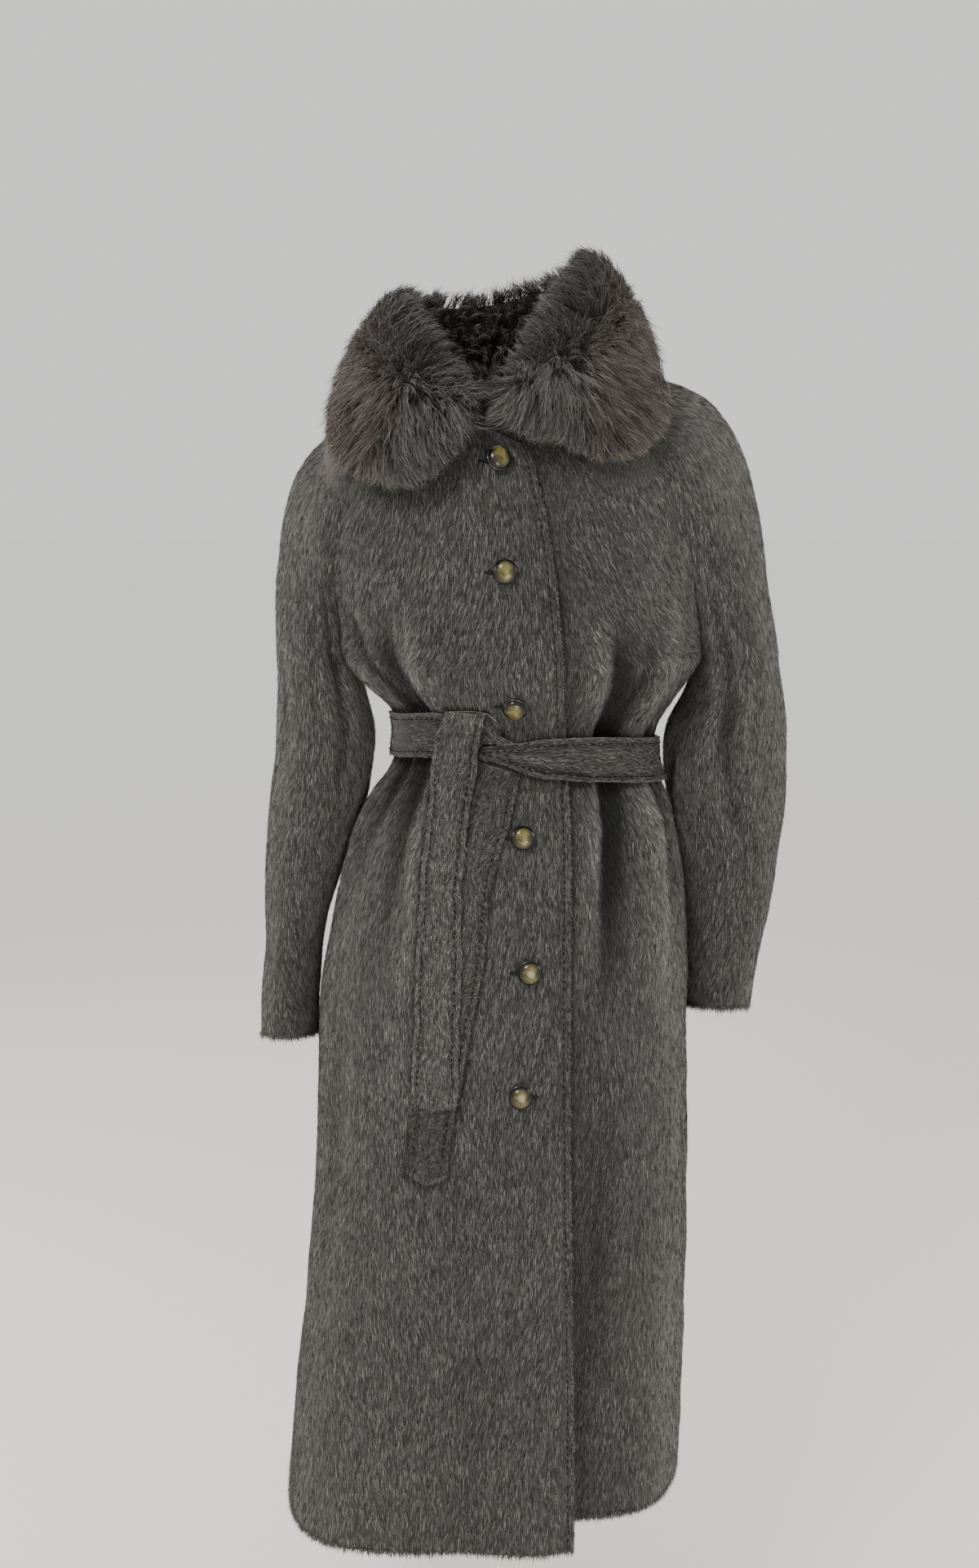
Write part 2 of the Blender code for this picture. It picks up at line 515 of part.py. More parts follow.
# The fur collar lies round the neck as one thick roll. Each row is a section: its inner top edge, its outer lower
# edge, how thick it is between them, and how full it is over and under the line that joins them.
COLLAR_COLUMNS = "row in_x in_y in_z out_x out_y out_z over under"
COLLAR = (
    (0, -0.003, -0.122, -0.034, -0.005, -0.140, -0.052, 0.008, 0.006),
    (1, -0.016, -0.112, -0.008, -0.036, -0.146, -0.090, 0.021, 0.012),
    (2, -0.032, -0.098, 0.020, -0.072, -0.150, -0.116, 0.030, 0.016),
    (3, -0.050, -0.082, 0.044, -0.108, -0.146, -0.118, 0.034, 0.018),
    (4, -0.064, -0.060, 0.062, -0.136, -0.122, -0.106, 0.032, 0.020),
    (5, -0.074, -0.030, 0.074, -0.152, -0.078, -0.088, 0.028, 0.020),
    (6, -0.079, 0.006, 0.079, -0.154, -0.024, -0.066, 0.027, 0.020),
    (7, -0.076, 0.042, 0.081, -0.146, 0.040, -0.052, 0.030, 0.020),
    (8, -0.060, 0.074, 0.083, -0.116, 0.104, -0.056, 0.036, 0.020),
    (9, -0.032, 0.092, 0.084, -0.062, 0.146, -0.066, 0.036, 0.020),
    (10, 0.000, 0.098, 0.088, 0.000, 0.158, -0.068, 0.036, 0.020),
    (11, 0.034, 0.092, 0.097, 0.064, 0.146, -0.060, 0.036, 0.020),
    (12, 0.064, 0.074, 0.105, 0.120, 0.106, -0.044, 0.034, 0.020),
    (13, 0.082, 0.044, 0.113, 0.154, 0.044, -0.032, 0.031, 0.020),
    (14, 0.088, 0.008, 0.117, 0.166, -0.020, -0.040, 0.029, 0.020),
    (15, 0.083, -0.028, 0.110, 0.165, -0.070, -0.062, 0.031, 0.020),
    (16, 0.070, -0.060, 0.094, 0.150, -0.114, -0.084, 0.036, 0.020),
    (17, 0.050, -0.084, 0.064, 0.112, -0.138, -0.098, 0.034, 0.018),
    (18, 0.032, -0.100, 0.034, 0.072, -0.146, -0.080, 0.028, 0.016),
    (19, 0.018, -0.112, 0.000, 0.034, -0.146, -0.070, 0.020, 0.012),
    (20, 0.008, -0.122, -0.030, 0.007, -0.140, -0.054, 0.008, 0.006),
)
COLLAR_CLEAR = 0.0040

# The belt lies in a plane that falls towards the wearer's left.
BELT_LEVEL = -0.3935
BELT_SLOPE = -0.095
# How far the belt's middle rises from that plane, and how far its edges stand above and below its middle. The knot
# pulls it up and pinches it.
BELT_EDGE_COLUMNS = "angle rise above below"
BELT_EDGES = (
    (-180.0, 0.0080, 0.0218, 0.0218),
    (-158.0, 0.0145, 0.0225, 0.0225),
    (-143.0, 0.0215, 0.0225, 0.0225),
    (-133.0, 0.0250, 0.0222, 0.0222),
    (-124.0, 0.0225, 0.0200, 0.0190),
    (-114.0, 0.0130, 0.0070, 0.0060),
    (-107.0, 0.0145, 0.0080, 0.0078),
    (-102.0, 0.0147, 0.0098, 0.0100),
    (-92.0, 0.0137, 0.0148, 0.0148),
    (-85.0, 0.0141, 0.0178, 0.0180),
    (-70.0, 0.0155, 0.0207, 0.0208),
    (-48.0, 0.0165, 0.0222, 0.0222),
    (-27.0, 0.0140, 0.0225, 0.0225),
    (0.0, 0.0080, 0.0220, 0.0220),
    (45.0, 0.0000, 0.0218, 0.0218),
    (90.0, -0.0040, 0.0218, 0.0218),
    (135.0, 0.0000, 0.0218, 0.0218),
    (180.0, 0.0080, 0.0218, 0.0218),
)

BELT_PUFF = (-0.0012, 0.0, 0.0004, 0.0, -0.0012)  # across its outer face, from edge to edge
# The belt rises a little where it passes over the front edge of the coat.
BELT_LAP_RISE = 0.0012
BELT_LAP_ANGLE = math.radians(-77.0)
BELT_LAP_SPREAD = 0.35

# The belt's hanging ends: the middle and half width of each across the front, and how far out each lies.
TAIL_COLUMNS = "z middle half out"
TAIL_FRONT = (
    (-0.728, -0.0555, 0.0229, 0.0062),
    (-0.654, -0.0532, 0.0224, 0.0062),
    (-0.580, -0.0505, 0.0222, 0.0062),
    (-0.538, -0.0492, 0.0211, 0.0062),
    (-0.498, -0.0476, 0.0199, 0.0062),
    (-0.460, -0.0435, 0.0203, 0.0064),
    (-0.430, -0.0400, 0.0207, 0.0074),
    (-0.405, -0.0368, 0.0214, 0.0090),
    (-0.390, -0.0352, 0.0219, 0.0108),
    (-0.375, -0.0338, 0.0219, 0.0130),
    (-0.360, -0.0311, 0.0215, 0.0137),
    (-0.347, -0.0277, 0.0200, 0.0137),
    (-0.334, -0.0230, 0.0200, 0.0134),
)
TAIL_BACK = (
    (-0.808, -0.0650, 0.0205, 0.0012),
    (-0.762, -0.0600, 0.0215, 0.0012),
    (-0.700, -0.0500, 0.0220, 0.0012),
    (-0.630, -0.0370, 0.0222, 0.0012),
    (-0.565, -0.0262, 0.0222, 0.0012),
    (-0.525, -0.0220, 0.0220, 0.0012),
    (-0.485, -0.0160, 0.0218, 0.0012),
    (-0.458, -0.0065, 0.0217, 0.0013),
    (-0.433, 0.0010, 0.0215, 0.0016),
    (-0.3905, 0.0088, 0.0213, 0.0022),
)
TAIL_THICK = 0.0042
FRONT_POINT = 0.006  # how much lower the middle of each end hangs than its corners
BACK_POINT = 0.010
POINT_SHIFT = 0.15
BACK_TOP_TILT = -0.0060  # the back end's top follows the belt's lower edge
KNOT_THICK = 0.0040
KNOT_BULGE = 0.0012

# The loop of the half knot, a short flap over the belt that comes out from behind the front end and narrows to
# nothing: its middle line, half width and how far out it lies.
KNOT_COLUMNS = "row x z half out"
KNOT = (
    (0, -0.0440, -0.3510, 0.0160, 0.0078),
    (1, -0.0300, -0.3505, 0.0175, 0.0078),
    (2, -0.0160, -0.3505, 0.0185, 0.0078),
    (3, -0.0040, -0.3535, 0.0175, 0.0078),
    (4, 0.0055, -0.3600, 0.0062, 0.0078),
    (5, 0.0140, -0.3640, 0.0034, 0.0078),
    (6, 0.0230, -0.3655, 0.0016, 0.0076),
)

BUTTON_COLUMNS = "x z turn stand"
BUTTONS = (
    (0.007, -0.0930, 24.0, 0.0028),
    (0.015, -0.1960, 0.0, 0.0),
    (0.025, -0.3270, 0.0, 0.0),
    (0.033, -0.4570, 0.0, 0.0),
    (0.040, -0.5900, 0.0, 0.0),
    (0.031, -0.7165, 0.0, 0.0),
)
BUTTON_PROFILE = (
    (0.0000, 1.00),
    (0.0050, 0.965),
    (0.0090, 0.82),
    (0.0114, 0.59),
    (0.0122, 0.36),
    (0.0108, 0.20),
    (0.0040, 0.15),
    (0.0030, 0.00),
    (0.0000, 0.00),
)

LOWER_STEPS = (
    0.000, 0.050, 0.120, 0.200, 0.285, 0.370, 0.450, 0.520, 0.585, 0.640, 0.688, 0.730, 0.766, 0.797,
    0.824, 0.848, 0.870, 0.890, 0.910, 0.930, 0.950, 0.975, 1.000,
)
UPPER_ROWS = 9
# The columns of each front, closer together where its deepest crease runs.
RIGHT_SHARES = (
    0.0, 0.055, 0.12, 0.20, 0.28, 0.36, 0.44, 0.52, 0.58, 0.62, 0.65, 0.68, 0.71, 0.74, 0.77, 0.80, 0.84, 0.88,
    0.92, 0.96, 1.0,
)
LEFT_SHARES = (
    0.0, 0.055, 0.12, 0.19, 0.26, 0.33, 0.40, 0.45, 0.48, 0.51, 0.54, 0.57, 0.60, 0.64, 0.69, 0.75, 0.82, 0.88,
    0.94, 1.0,
)
BACK_SHARES = tuple(i / 24 for i in range(25))
SLEEVE_AROUND = 13
SLEEVE_ROWS = 12


def front_y(x, z, out=0.0, folds=True):
    return body_point(front_angle(x, z, out), z, out, folds)[..., 1]


def lying_y(x, z, out):
    """How far forward something lies that rests on the front, over its creases and not in them."""
    return np.minimum(front_y(x, z, out), front_y(x, z, out, folds=False))


def sloped_level(x):
    return BELT_LEVEL + BELT_SLOPE * (x - 0.038)


def seam_directions(own, other):
    """Where a wall's inner points lie at a seam: both pieces use the mean direction, and lean apart in a crease."""
    together = np.sum(own * other, -1, keepdims=True)
    mean = unit(own + other + np.array([0.0, 0.0, -1e-4]))
    lean = 0.9 * smoothstep(-together, -0.4, 0.5)
    miter = 1 / np.clip(np.sum(mean * own, -1, keepdims=True), 0.62, 1)
    return unit(mean + lean * own) * miter


def away_from_axis(grid):
    middle = body_middle(grid[..., 2])
    out = grid.copy()
    out[..., 0:2] -= middle
    out[..., 2] = 0
    return out


def away_from_centre(grid):
    return grid - grid[:, :-1].mean(axis=1, keepdims=True)


def fit_seams(panels, sleeves, lower):
    """Gives each piece its points and wall directions, with half the seam gap taken from each side of a seam."""
    back = panels[2]
    normals = [grid_normals(p, away_from_axis) for p in panels]
    sleeve_normals = []
    for grid in sleeves:
        closed = UPPER_ROWS - 1
        sleeve_normals.append(grid_normals(grid, away_from_centre, closed_from=closed))
    used = [n.copy() for n in normals]
    used_sleeve = [n.copy() for n in sleeve_normals]
    top = UPPER_ROWS
    plan = ((0, 2, 1.0, 0, 0), (1, 2, -1.0, -1, 1))
    for front, rear, side, rear_column, sleeve in plan:
        above = slice(lower - 1, None)
        below = slice(0, lower)
        own, rear_own = normals[front], normals[rear]
        used[front][below, -1] = seam_directions(own[below, -1], rear_own[below, rear_column])
        used[rear][below, rear_column] = seam_directions(rear_own[below, rear_column], own[below, -1])
        arm = sleeve_normals[sleeve]
        arc_front, arc_back = arm[:top, 0][::-1], arm[:top, -1][::-1]
        used[front][above, -1] = seam_directions(own[above, -1], arc_front)
        used[rear][above, rear_column] = seam_directions(rear_own[above, rear_column], arc_back)
        used_sleeve[sleeve][:top, 0] = seam_directions(arc_front, own[above, -1])[::-1]
        used_sleeve[sleeve][:top, -1] = seam_directions(arc_back, rear_own[above, rear_column])[::-1]
        down = np.array([0.0, 0.0, -1.0])
        away = np.array([side, 0.0, 0.0])
        used[front][lower - 1, -1] = unit(down + 0.9 * away)
        used[rear][lower - 1, rear_column] = unit(down + 0.9 * away)
        used_sleeve[sleeve][top - 1, 0] = unit(down - 0.9 * away)
        used_sleeve[sleeve][top - 1, -1] = unit(down - 0.9 * away)
    half = SEAM_GAP * 0.6
    placed = [p.copy() for p in panels]
    arms = [g.copy() for g in sleeves]
    for front, rear, side, rear_column, sleeve in plan:
        inner = 1 if rear_column == 0 else -2
        below = slice(0, lower - 1)
        above = slice(lower, None)
        arcs = slice(top - 2, None, -1)
        front_pair = (panels[front][:, -1], panels[front][:, -2])
        rear_pair = (back[:, rear_column], back[:, inner])
        arm = sleeves[sleeve]
        arc_front = (arm[arcs, 0], arm[arcs, 1])
        arc_back = (arm[arcs, -1], arm[arcs, -2])
        shift = parted([c[below] for c in front_pair], [c[below] for c in rear_pair]) * half
        placed[front][below, -1] += shift
        placed[rear][below, rear_column] -= shift
        shift = parted([c[above] for c in front_pair], arc_front) * half
        placed[front][above, -1] += shift
        arms[sleeve][arcs, 0] -= shift
        shift = parted([c[above] for c in rear_pair], arc_back) * half
        placed[rear][above, rear_column] += shift
        arms[sleeve][arcs, -1] -= shift
        corner = np.array([side * SEAM_GAP, SEAM_GAP * 0.6, 0.0])
        placed[front][lower - 1, -1] -= corner
        placed[rear][lower - 1, rear_column] -= corner * [1, -1, 1]
        arms[sleeve][top - 1, 0, 0] += side * SEAM_GAP
        arms[sleeve][top - 1, -1] = arms[sleeve][top - 1, 0]
    return placed, used, arms, used_sleeve


def surface_tree(grids):
    """A search tree over the outer surfaces of the grids."""
    points, faces = [], []
    for grid, normals in grids:
        start = len(points)
        rows, columns = grid.shape[:2]
        points.extend(tuple(p) for p in grid.reshape(-1, 3))
        u = grid[1, 0] - grid[0, 0]
        v = grid[0, 1] - grid[0, 0]
        turned = np.dot(np.cross(v, u), normals[0, 0]) < 0
        for r in range(rows - 1):
            for c in range(columns - 1):
                a = start + r * columns + c
                quad = (a, a + 1, a + columns + 1, a + columns)
                faces.append(quad[::-1] if turned else quad)
    return BVHTree.FromPolygons(points, faces)


def pushed_clear(points, tree, clear):
    """The points, each moved out until it is clear of the surface."""
    moved = []
    for point in points:
        place = Vector(point)
        for _ in range(4):
            hit, normal, _, _ = tree.find_nearest(place)
            height = (place - hit).dot(normal)
            if height >= clear:
                break
            place = place + normal * (clear - height)
        moved.append(np.array(place))
    return np.array(moved)


def collar_sections(around, stations):
    """The collar's sections, each a closed loop of points from its inner top edge over the outside and back under."""
    rows = smooth_rows(COLLAR, np.linspace(0, COLLAR[-1][0], stations))
    top, low = rows[:, 0:3], rows[:, 3:6]
    line = low - top
    travel = unit(np.gradient((top + low) / 2, axis=0))
    over = unit(np.cross(travel, line))
    over = over * np.sign(over[:, 2:3] * 0.5 + np.sum(over * unit(low * [1, 1, 0] + 1e-9), -1, keepdims=True))
    turn = np.linspace(0, 2 * math.pi, around, endpoint=False)
    across, height = -np.cos(turn), np.sin(turn)
    full = np.where(height[None] > 0, rows[:, 6:7], rows[:, 7:8])
    height = np.sign(height) * np.abs(height) ** 0.85
    middle = (top + low) / 2
    return middle[:, None] + line[:, None] * across[None, :, None] / 2 + over[:, None] * (full * height)[..., None]


def loft(name, sections, look, collection):
    """A closed body through closed sections, with both ends filled."""
    count, around = sections.shape[:2]
    points = sections.reshape(-1, 3)
    faces = []
    for r in range(count - 1):
        for c in range(around):
            a, b = r * around + c, r * around + (c + 1) % around
            faces.append((a, b, b + around, a + around))
    faces.append(tuple(range(around))[::-1])
    faces.append(tuple(range((count - 1) * around, count * around)))
    return mesh_object(name, points, faces, look, collection)


def belt_ring(around, collection):
    angles = np.linspace(-math.pi, math.pi, around, endpoint=False)
    level = np.full(around, BELT_LEVEL)
    for _ in range(6):
        level = sloped_level(body_point(angles, level, folds=False)[:, 0])
    heights = np.linspace(-0.5, 0.5, 5)
    edges = smooth_rows(BELT_EDGES, np.degrees(angles))
    level = level + edges[:, 0]
    z = level[:, None] + np.where(heights > 0, edges[:, 1:2], edges[:, 2:3]) * heights * 2
    radius = body_radius(np.broadcast_to(angles[:, None], z.shape), z, folds=False)
    lap = BELT_LAP_RISE * np.exp(-(((angles - BELT_LAP_ANGLE) / BELT_LAP_SPREAD) ** 2))
    inner = radius + BELT_CLEAR + lap[:, None]
    outer = inner + BELT_THICK + np.array(BELT_PUFF)
    reach = np.concatenate([inner, outer[:, ::-1]], axis=1)
    heights_z = np.concatenate([z, z[:, ::-1]], axis=1)
    middle = body_middle(heights_z)
    x = middle[..., 0] + reach * np.cos(angles)[:, None]
    y = middle[..., 1] + reach * np.sin(angles)[:, None]
    sections = np.stack([x, y, heights_z], -1)
    count, side = sections.shape[:2]
    faces = []
    for r in range(count):
        for c in range(side):
            n = (r + 1) % count
            d = (c + 1) % side
            faces.append((r * side + c, r * side + d, n * side + d, n * side + c))
    return mesh_object("belt_band", sections.reshape(-1, 3), faces, "belt", collection)


def tail(name, table, rows, columns, point_drop, top_tilt, collection):
    """A hanging belt end on the front: a flat band with a pointed lower end."""
    z_rows = np.linspace(table[0][0], table[-1][0], rows)
    values = smooth_rows(table, z_rows)
    across = np.linspace(-1, 1, columns)
    x = values[:, 0:1] + values[:, 1:2] * across
    drop = np.exp(-np.arange(rows) / 0.8)[:, None]
    z = z_rows[:, None] + drop * point_drop * np.abs(across - POINT_SHIFT) ** 1.3
    z = z + top_tilt * across * drop[::-1]
    back = lying_y(x, z, values[:, 2:3])
    grid = np.stack([x, back, z], -1)
    normals = np.zeros_like(grid)
    normals[..., 1] = 1.0
    return wall_object(name, grid, normals, "belt", collection, thick=TAIL_THICK)


def knot_band(collection):
    rows = smooth_rows(KNOT, np.linspace(0, KNOT[-1][0], 13))
    middle = rows[:, 0:2]
    travel = unit(np.gradient(middle, axis=0))
    side = np.stack([-travel[:, 1], travel[:, 0]], -1)
    across = np.linspace(-1, 1, 6)
    flat = middle[:, None] + side[:, None] * across[None, :, None] * rows[:, 2:3, None]
    bulge = KNOT_BULGE * (1 - across**2)
    y = lying_y(flat[..., 0], flat[..., 1], rows[:, 3:4]) - bulge
    grid = np.stack([flat[..., 0], y, flat[..., 1]], -1)
    normals = np.zeros_like(grid)
    normals[..., 1] = 1.0
    return wall_object("belt_knot", grid, normals, "belt", collection, thick=KNOT_THICK)


def button(index, x, z, turn, stand, tree, collection):
    """A turned, domed button on a short shank, which stands on the cloth."""
    mesh = bpy.data.meshes.new(f"button_{index}")
    points = [(radius, 0.0, share * BUTTON_HEIGHT + (stand if share else 0.0)) for radius, share in BUTTON_PROFILE]
    mesh.from_pydata(points, [(i, i + 1) for i in range(len(points) - 1)], [])
    mesh.materials.append(material_of(f"button_{index}", "horn"))
    made = bpy.data.objects.new(f"button_{index}", mesh)
    screw = made.modifiers.new("turned", "SCREW")
    screw.axis = "Z"
    screw.steps = screw.render_steps = 16
    screw.use_merge_vertices = True
    screw.merge_threshold = 0.00001
    screw.use_smooth_shade = True
    hit, out, _, _ = tree.ray_cast(Vector((x, -1.0, z)), Vector((0.0, 1.0, 0.0)))
    facing = out.to_track_quat("Z", "Y")
    made.rotation_euler = (Matrix.Rotation(math.radians(turn), 3, "Z") @ facing.to_matrix()).to_euler()
    rise = BUTTON_CLEAR + 0.003 * math.sin(math.radians(turn))
    made.location = hit + out * rise
    collection.objects.link(made)
    return made


def build():
    for old in list(bpy.data.objects):
        bpy.data.objects.remove(old, do_unlink=True)
    coat = bpy.data.collections.new("alpaca_coat")
    bpy.context.scene.collection.children.link(coat)

    lower = len(LOWER_STEPS)
    plan = ((1, LEFT_SHARES), (-1, RIGHT_SHARES))
    fronts = [front_panel(side, shares, LOWER_STEPS, UPPER_ROWS) for side, shares in plan]
    back = back_panel(BACK_SHARES, LOWER_STEPS, UPPER_ROWS)
    sleeves = []
    for side, front, column, table in ((1, fronts[0], 0, RAGLAN_LEFT), (-1, fronts[1], -1, RAGLAN_RIGHT)):
        inward_front = (front[lower - 1 :, -2] - front[lower - 1 :, -1])[::-1]
        beside = back[lower - 1 :, 1 if column == 0 else -2]
        inward_back = (beside - back[lower - 1 :, column])[::-1]
        arcs = raglan_arcs(table, inward_front, inward_back, SLEEVE_AROUND)
        sleeves.append(sleeve_grid(side, arcs, SLEEVE_AROUND, SLEEVE_ROWS))
    placed, used, arms, used_arms = fit_seams([fronts[0], fronts[1], back], sleeves, lower)
    for name, grid, normals in zip(("front_left", "front_right", "back"), placed, used):
        wall_object(name, grid, normals, "alpaca", coat)
    for name, grid, normals in zip(("sleeve_left", "sleeve_right"), arms, used_arms):
        wall_object(name, grid, normals, "alpaca", coat, closed_from=UPPER_ROWS - 1)

    tree = surface_tree(list(zip(placed, used)) + list(zip(arms, used_arms)))
    sections = collar_sections(14, 41)
    shape = sections.shape
    sections = pushed_clear(sections.reshape(-1, 3), tree, COLLAR_CLEAR).reshape(shape)
    loft("fur_collar", sections, "fox", coat)

    belt_ring(72, coat)
    tail("belt_tail_back", TAIL_BACK, 16, 5, BACK_POINT, BACK_TOP_TILT, coat)
    tail("belt_tail_front", TAIL_FRONT, 24, 5, FRONT_POINT, 0.0, coat)
    knot_band(coat)
    for index, (x, z, turn, stand) in enumerate(BUTTONS, 1):
        button(index, x, z, turn, stand, tree, coat)


build()
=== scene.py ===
"""The looks of the belted alpaca coat: brushed cloth with its pile, the fur collar, stitching and buttons.

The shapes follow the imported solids: the same surfaces, worked out from the same sizes, on finer grids, with
narrower seams and more creases.
"""

import math

import bpy
import numpy as np
from mathutils import Matrix, Vector
from mathutils.bvhtree import BVHTree


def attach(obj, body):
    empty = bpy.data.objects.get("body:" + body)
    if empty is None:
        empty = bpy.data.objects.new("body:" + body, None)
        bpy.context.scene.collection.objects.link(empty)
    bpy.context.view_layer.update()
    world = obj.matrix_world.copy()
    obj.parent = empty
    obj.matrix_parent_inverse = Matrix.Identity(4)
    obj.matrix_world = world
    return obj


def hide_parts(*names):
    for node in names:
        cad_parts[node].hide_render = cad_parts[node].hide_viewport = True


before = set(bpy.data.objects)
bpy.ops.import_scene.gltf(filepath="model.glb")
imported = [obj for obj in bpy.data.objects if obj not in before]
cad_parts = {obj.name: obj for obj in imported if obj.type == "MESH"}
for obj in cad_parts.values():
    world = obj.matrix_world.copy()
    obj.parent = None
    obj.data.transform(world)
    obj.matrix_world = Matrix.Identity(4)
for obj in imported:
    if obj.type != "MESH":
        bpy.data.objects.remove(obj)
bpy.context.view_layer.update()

# ---------------------------------------------------------------- the part's own sizes

WALL = 0.003  # brushed cloth, without its pile
SEAM_GAP = 0.00012  # between neighbouring pieces of cloth
LAP_GAP = 0.0013  # between the two fronts where they lie on each other
LAP_TOP_LIFT = 0.001  # how far the upper front is lifted at its free edge
FRONT_HEM = -1.203
LEFT_FRONT_HEM = -1.190
BACK_HEM = -1.203
UNDERARM = 8  # the raglan row at which the sleeve closes into a tube
UNDERARM_LEVEL = -0.29
SIDE_SEAM_TURN = 4.0  # how far behind the sides the side seams run, in degrees
MEAN_RADIUS = 0.15  # turns an angle round the body into a length along its surface
SLEEVE_RADIUS = 0.068  # does the same on a sleeve
CREASE_FADE = 0.23  # how far from the raglan seams a sleeve's creases are full, as a share of its columns
NECK_ARCH = 0.006  # how much higher the back is in the middle of the neck than at the raglan seams
DOWN = np.array([0.0, 0.0, -1.0])

BELT_THICK = 0.005
BELT_CLEAR = 0.0018

BUTTON_HEIGHT = 0.0105
BUTTON_CLEAR = 0.0004

# The body's outer surface, one horizontal section in each row. The sections are round boxes: half widths to
# the image's left and right, depths to the front and back, and how square each corner is (2 is an ellipse).
# Columns: z cx cy left right front back corner_left corner_right corner_back yaw.
BODY = (
    (-1.215, 0.000, -0.010, 0.226, 0.212, 0.184, 0.180, 4.2, 2.35, 2.3, 3.0),
    (-1.100, 0.003, -0.008, 0.219, 0.214, 0.178, 0.174, 3.6, 2.35, 2.3, 3.0),
    (-0.960, 0.007, -0.006, 0.207, 0.212, 0.170, 0.167, 3.0, 2.35, 2.3, 2.5),
    (-0.830, 0.012, -0.004, 0.201, 0.206, 0.160, 0.160, 2.6, 2.3, 2.3, 2.0),
    (-0.700, 0.014, -0.002, 0.198, 0.200, 0.151, 0.156, 2.5, 2.3, 2.3, 1.5),
    (-0.620, 0.016, 0.000, 0.193, 0.196, 0.146, 0.154, 2.4, 2.3, 2.3, 1.0),
    (-0.560, 0.021, 0.001, 0.184, 0.188, 0.141, 0.150, 2.4, 2.3, 2.3, 0.5),
    (-0.510, 0.025, 0.002, 0.173, 0.176, 0.136, 0.143, 2.3, 2.3, 2.2, 0.0),
    (-0.470, 0.029, 0.002, 0.162, 0.163, 0.130, 0.133, 2.3, 2.3, 2.2, 0.0),
    (-0.440, 0.033, 0.002, 0.151, 0.152, 0.121, 0.119, 2.2, 2.2, 2.2, 0.0),
    (-0.415, 0.036, 0.002, 0.139, 0.138, 0.111, 0.106, 2.2, 2.2, 2.2, 0.0),
    (-0.390, 0.037, 0.002, 0.134, 0.134, 0.108, 0.101, 2.2, 2.2, 2.2, 0.0),
    (-0.365, 0.039, 0.002, 0.136, 0.138, 0.110, 0.104, 2.2, 2.2, 2.2, 0.0),
    (-0.345, 0.041, 0.002, 0.146, 0.148, 0.120, 0.115, 2.2, 2.2, 2.2, 0.0),
    (-0.320, 0.040, 0.002, 0.164, 0.164, 0.133, 0.126, 2.2, 2.2, 2.2, 0.0),
    (-0.290, 0.037, 0.002, 0.183, 0.182, 0.141, 0.133, 2.2, 2.2, 2.2, 0.0),
    (-0.240, 0.033, 0.001, 0.193, 0.192, 0.143, 0.137, 2.3, 2.3, 2.3, 0.0),
    (-0.190, 0.027, 0.001, 0.198, 0.200, 0.139, 0.138, 2.3, 2.3, 2.3, 0.0),
    (-0.145, 0.020, 0.001, 0.195, 0.202, 0.131, 0.134, 2.3, 2.3, 2.3, 0.0),
    (-0.100, 0.014, 0.001, 0.180, 0.186, 0.118, 0.124, 2.3, 2.3, 2.3, 0.0),
    (-0.065, 0.009, 0.001, 0.155, 0.160, 0.103, 0.108, 2.2, 2.2, 2.2, 0.0),
    (-0.040, 0.006, 0.001, 0.126, 0.132, 0.092, 0.094, 2.1, 2.1, 2.1, 0.0),
    (-0.020, 0.003, 0.001, 0.098, 0.102, 0.084, 0.083, 2.0, 2.0, 2.0, 0.0),
    (0.010, 0.000, 0.001, 0.088, 0.088, 0.076, 0.074, 2.0, 2.0, 2.0, 0.0),
)

# Creases in the sleeves: where each runs down the arm, and its place round the sleeve in degrees from the
# inner side (90 is the front, 180 the outside) at its top, where it is deepest and at its end.
# Columns: side z_top z_deep z_end turn_top turn_deep turn_end depth width.
SLEEVE_FOLDS = (
    (1, -0.205, -0.330, -0.500, 36.0, 74.0, 98.0, 0.010, 0.011),
    (1, -0.330, -0.420, -0.520, 300.0, 285.0, 262.0, 0.008, 0.012),
    (1, -0.360, -0.420, -0.490, 30.0, 12.0, 0.0, 0.005, 0.010),
    (-1, -0.170, -0.270, -0.420, 158.0, 146.0, 132.0, 0.007, 0.011),
    (-1, -0.200, -0.310, -0.430, 30.0, 52.0, 66.0, 0.009, 0.010),
    (-1, -0.330, -0.420, -0.520, 300.0, 285.0, 262.0, 0.008, 0.012),
)

# The right front lies on top. Its free edge and the line of the buttons, as positions across the front.
# Columns: z edge buttons.
EDGE = (
    (-1.215, 0.083, 0.040),
    (-0.900, 0.083, 0.040),
    (-0.600, 0.080, 0.038),
    (-0.440, 0.079, 0.033),
    (-0.335, 0.073, 0.025),
    (-0.257, 0.068, 0.020),
    (-0.187, 0.060, 0.014),
    (-0.150, 0.054, 0.011),
    (-0.115, 0.046, 0.008),
    (-0.095, 0.041, 0.006),
    (-0.075, 0.031, 0.004),
    (-0.050, 0.010, 0.002),
)
UNDERLAP = 0.045  # the left front reaches this far past the line of the buttons

# The neck edge of each front: shares of the way from the free edge to the raglan seam, and heights. The top
# corner of the right front is rounded off.
# Columns: share z.
NECK_LINE = ((0.2, -0.064), (0.5, -0.053), (0.8, -0.040))
NECK_CORNER = -0.078

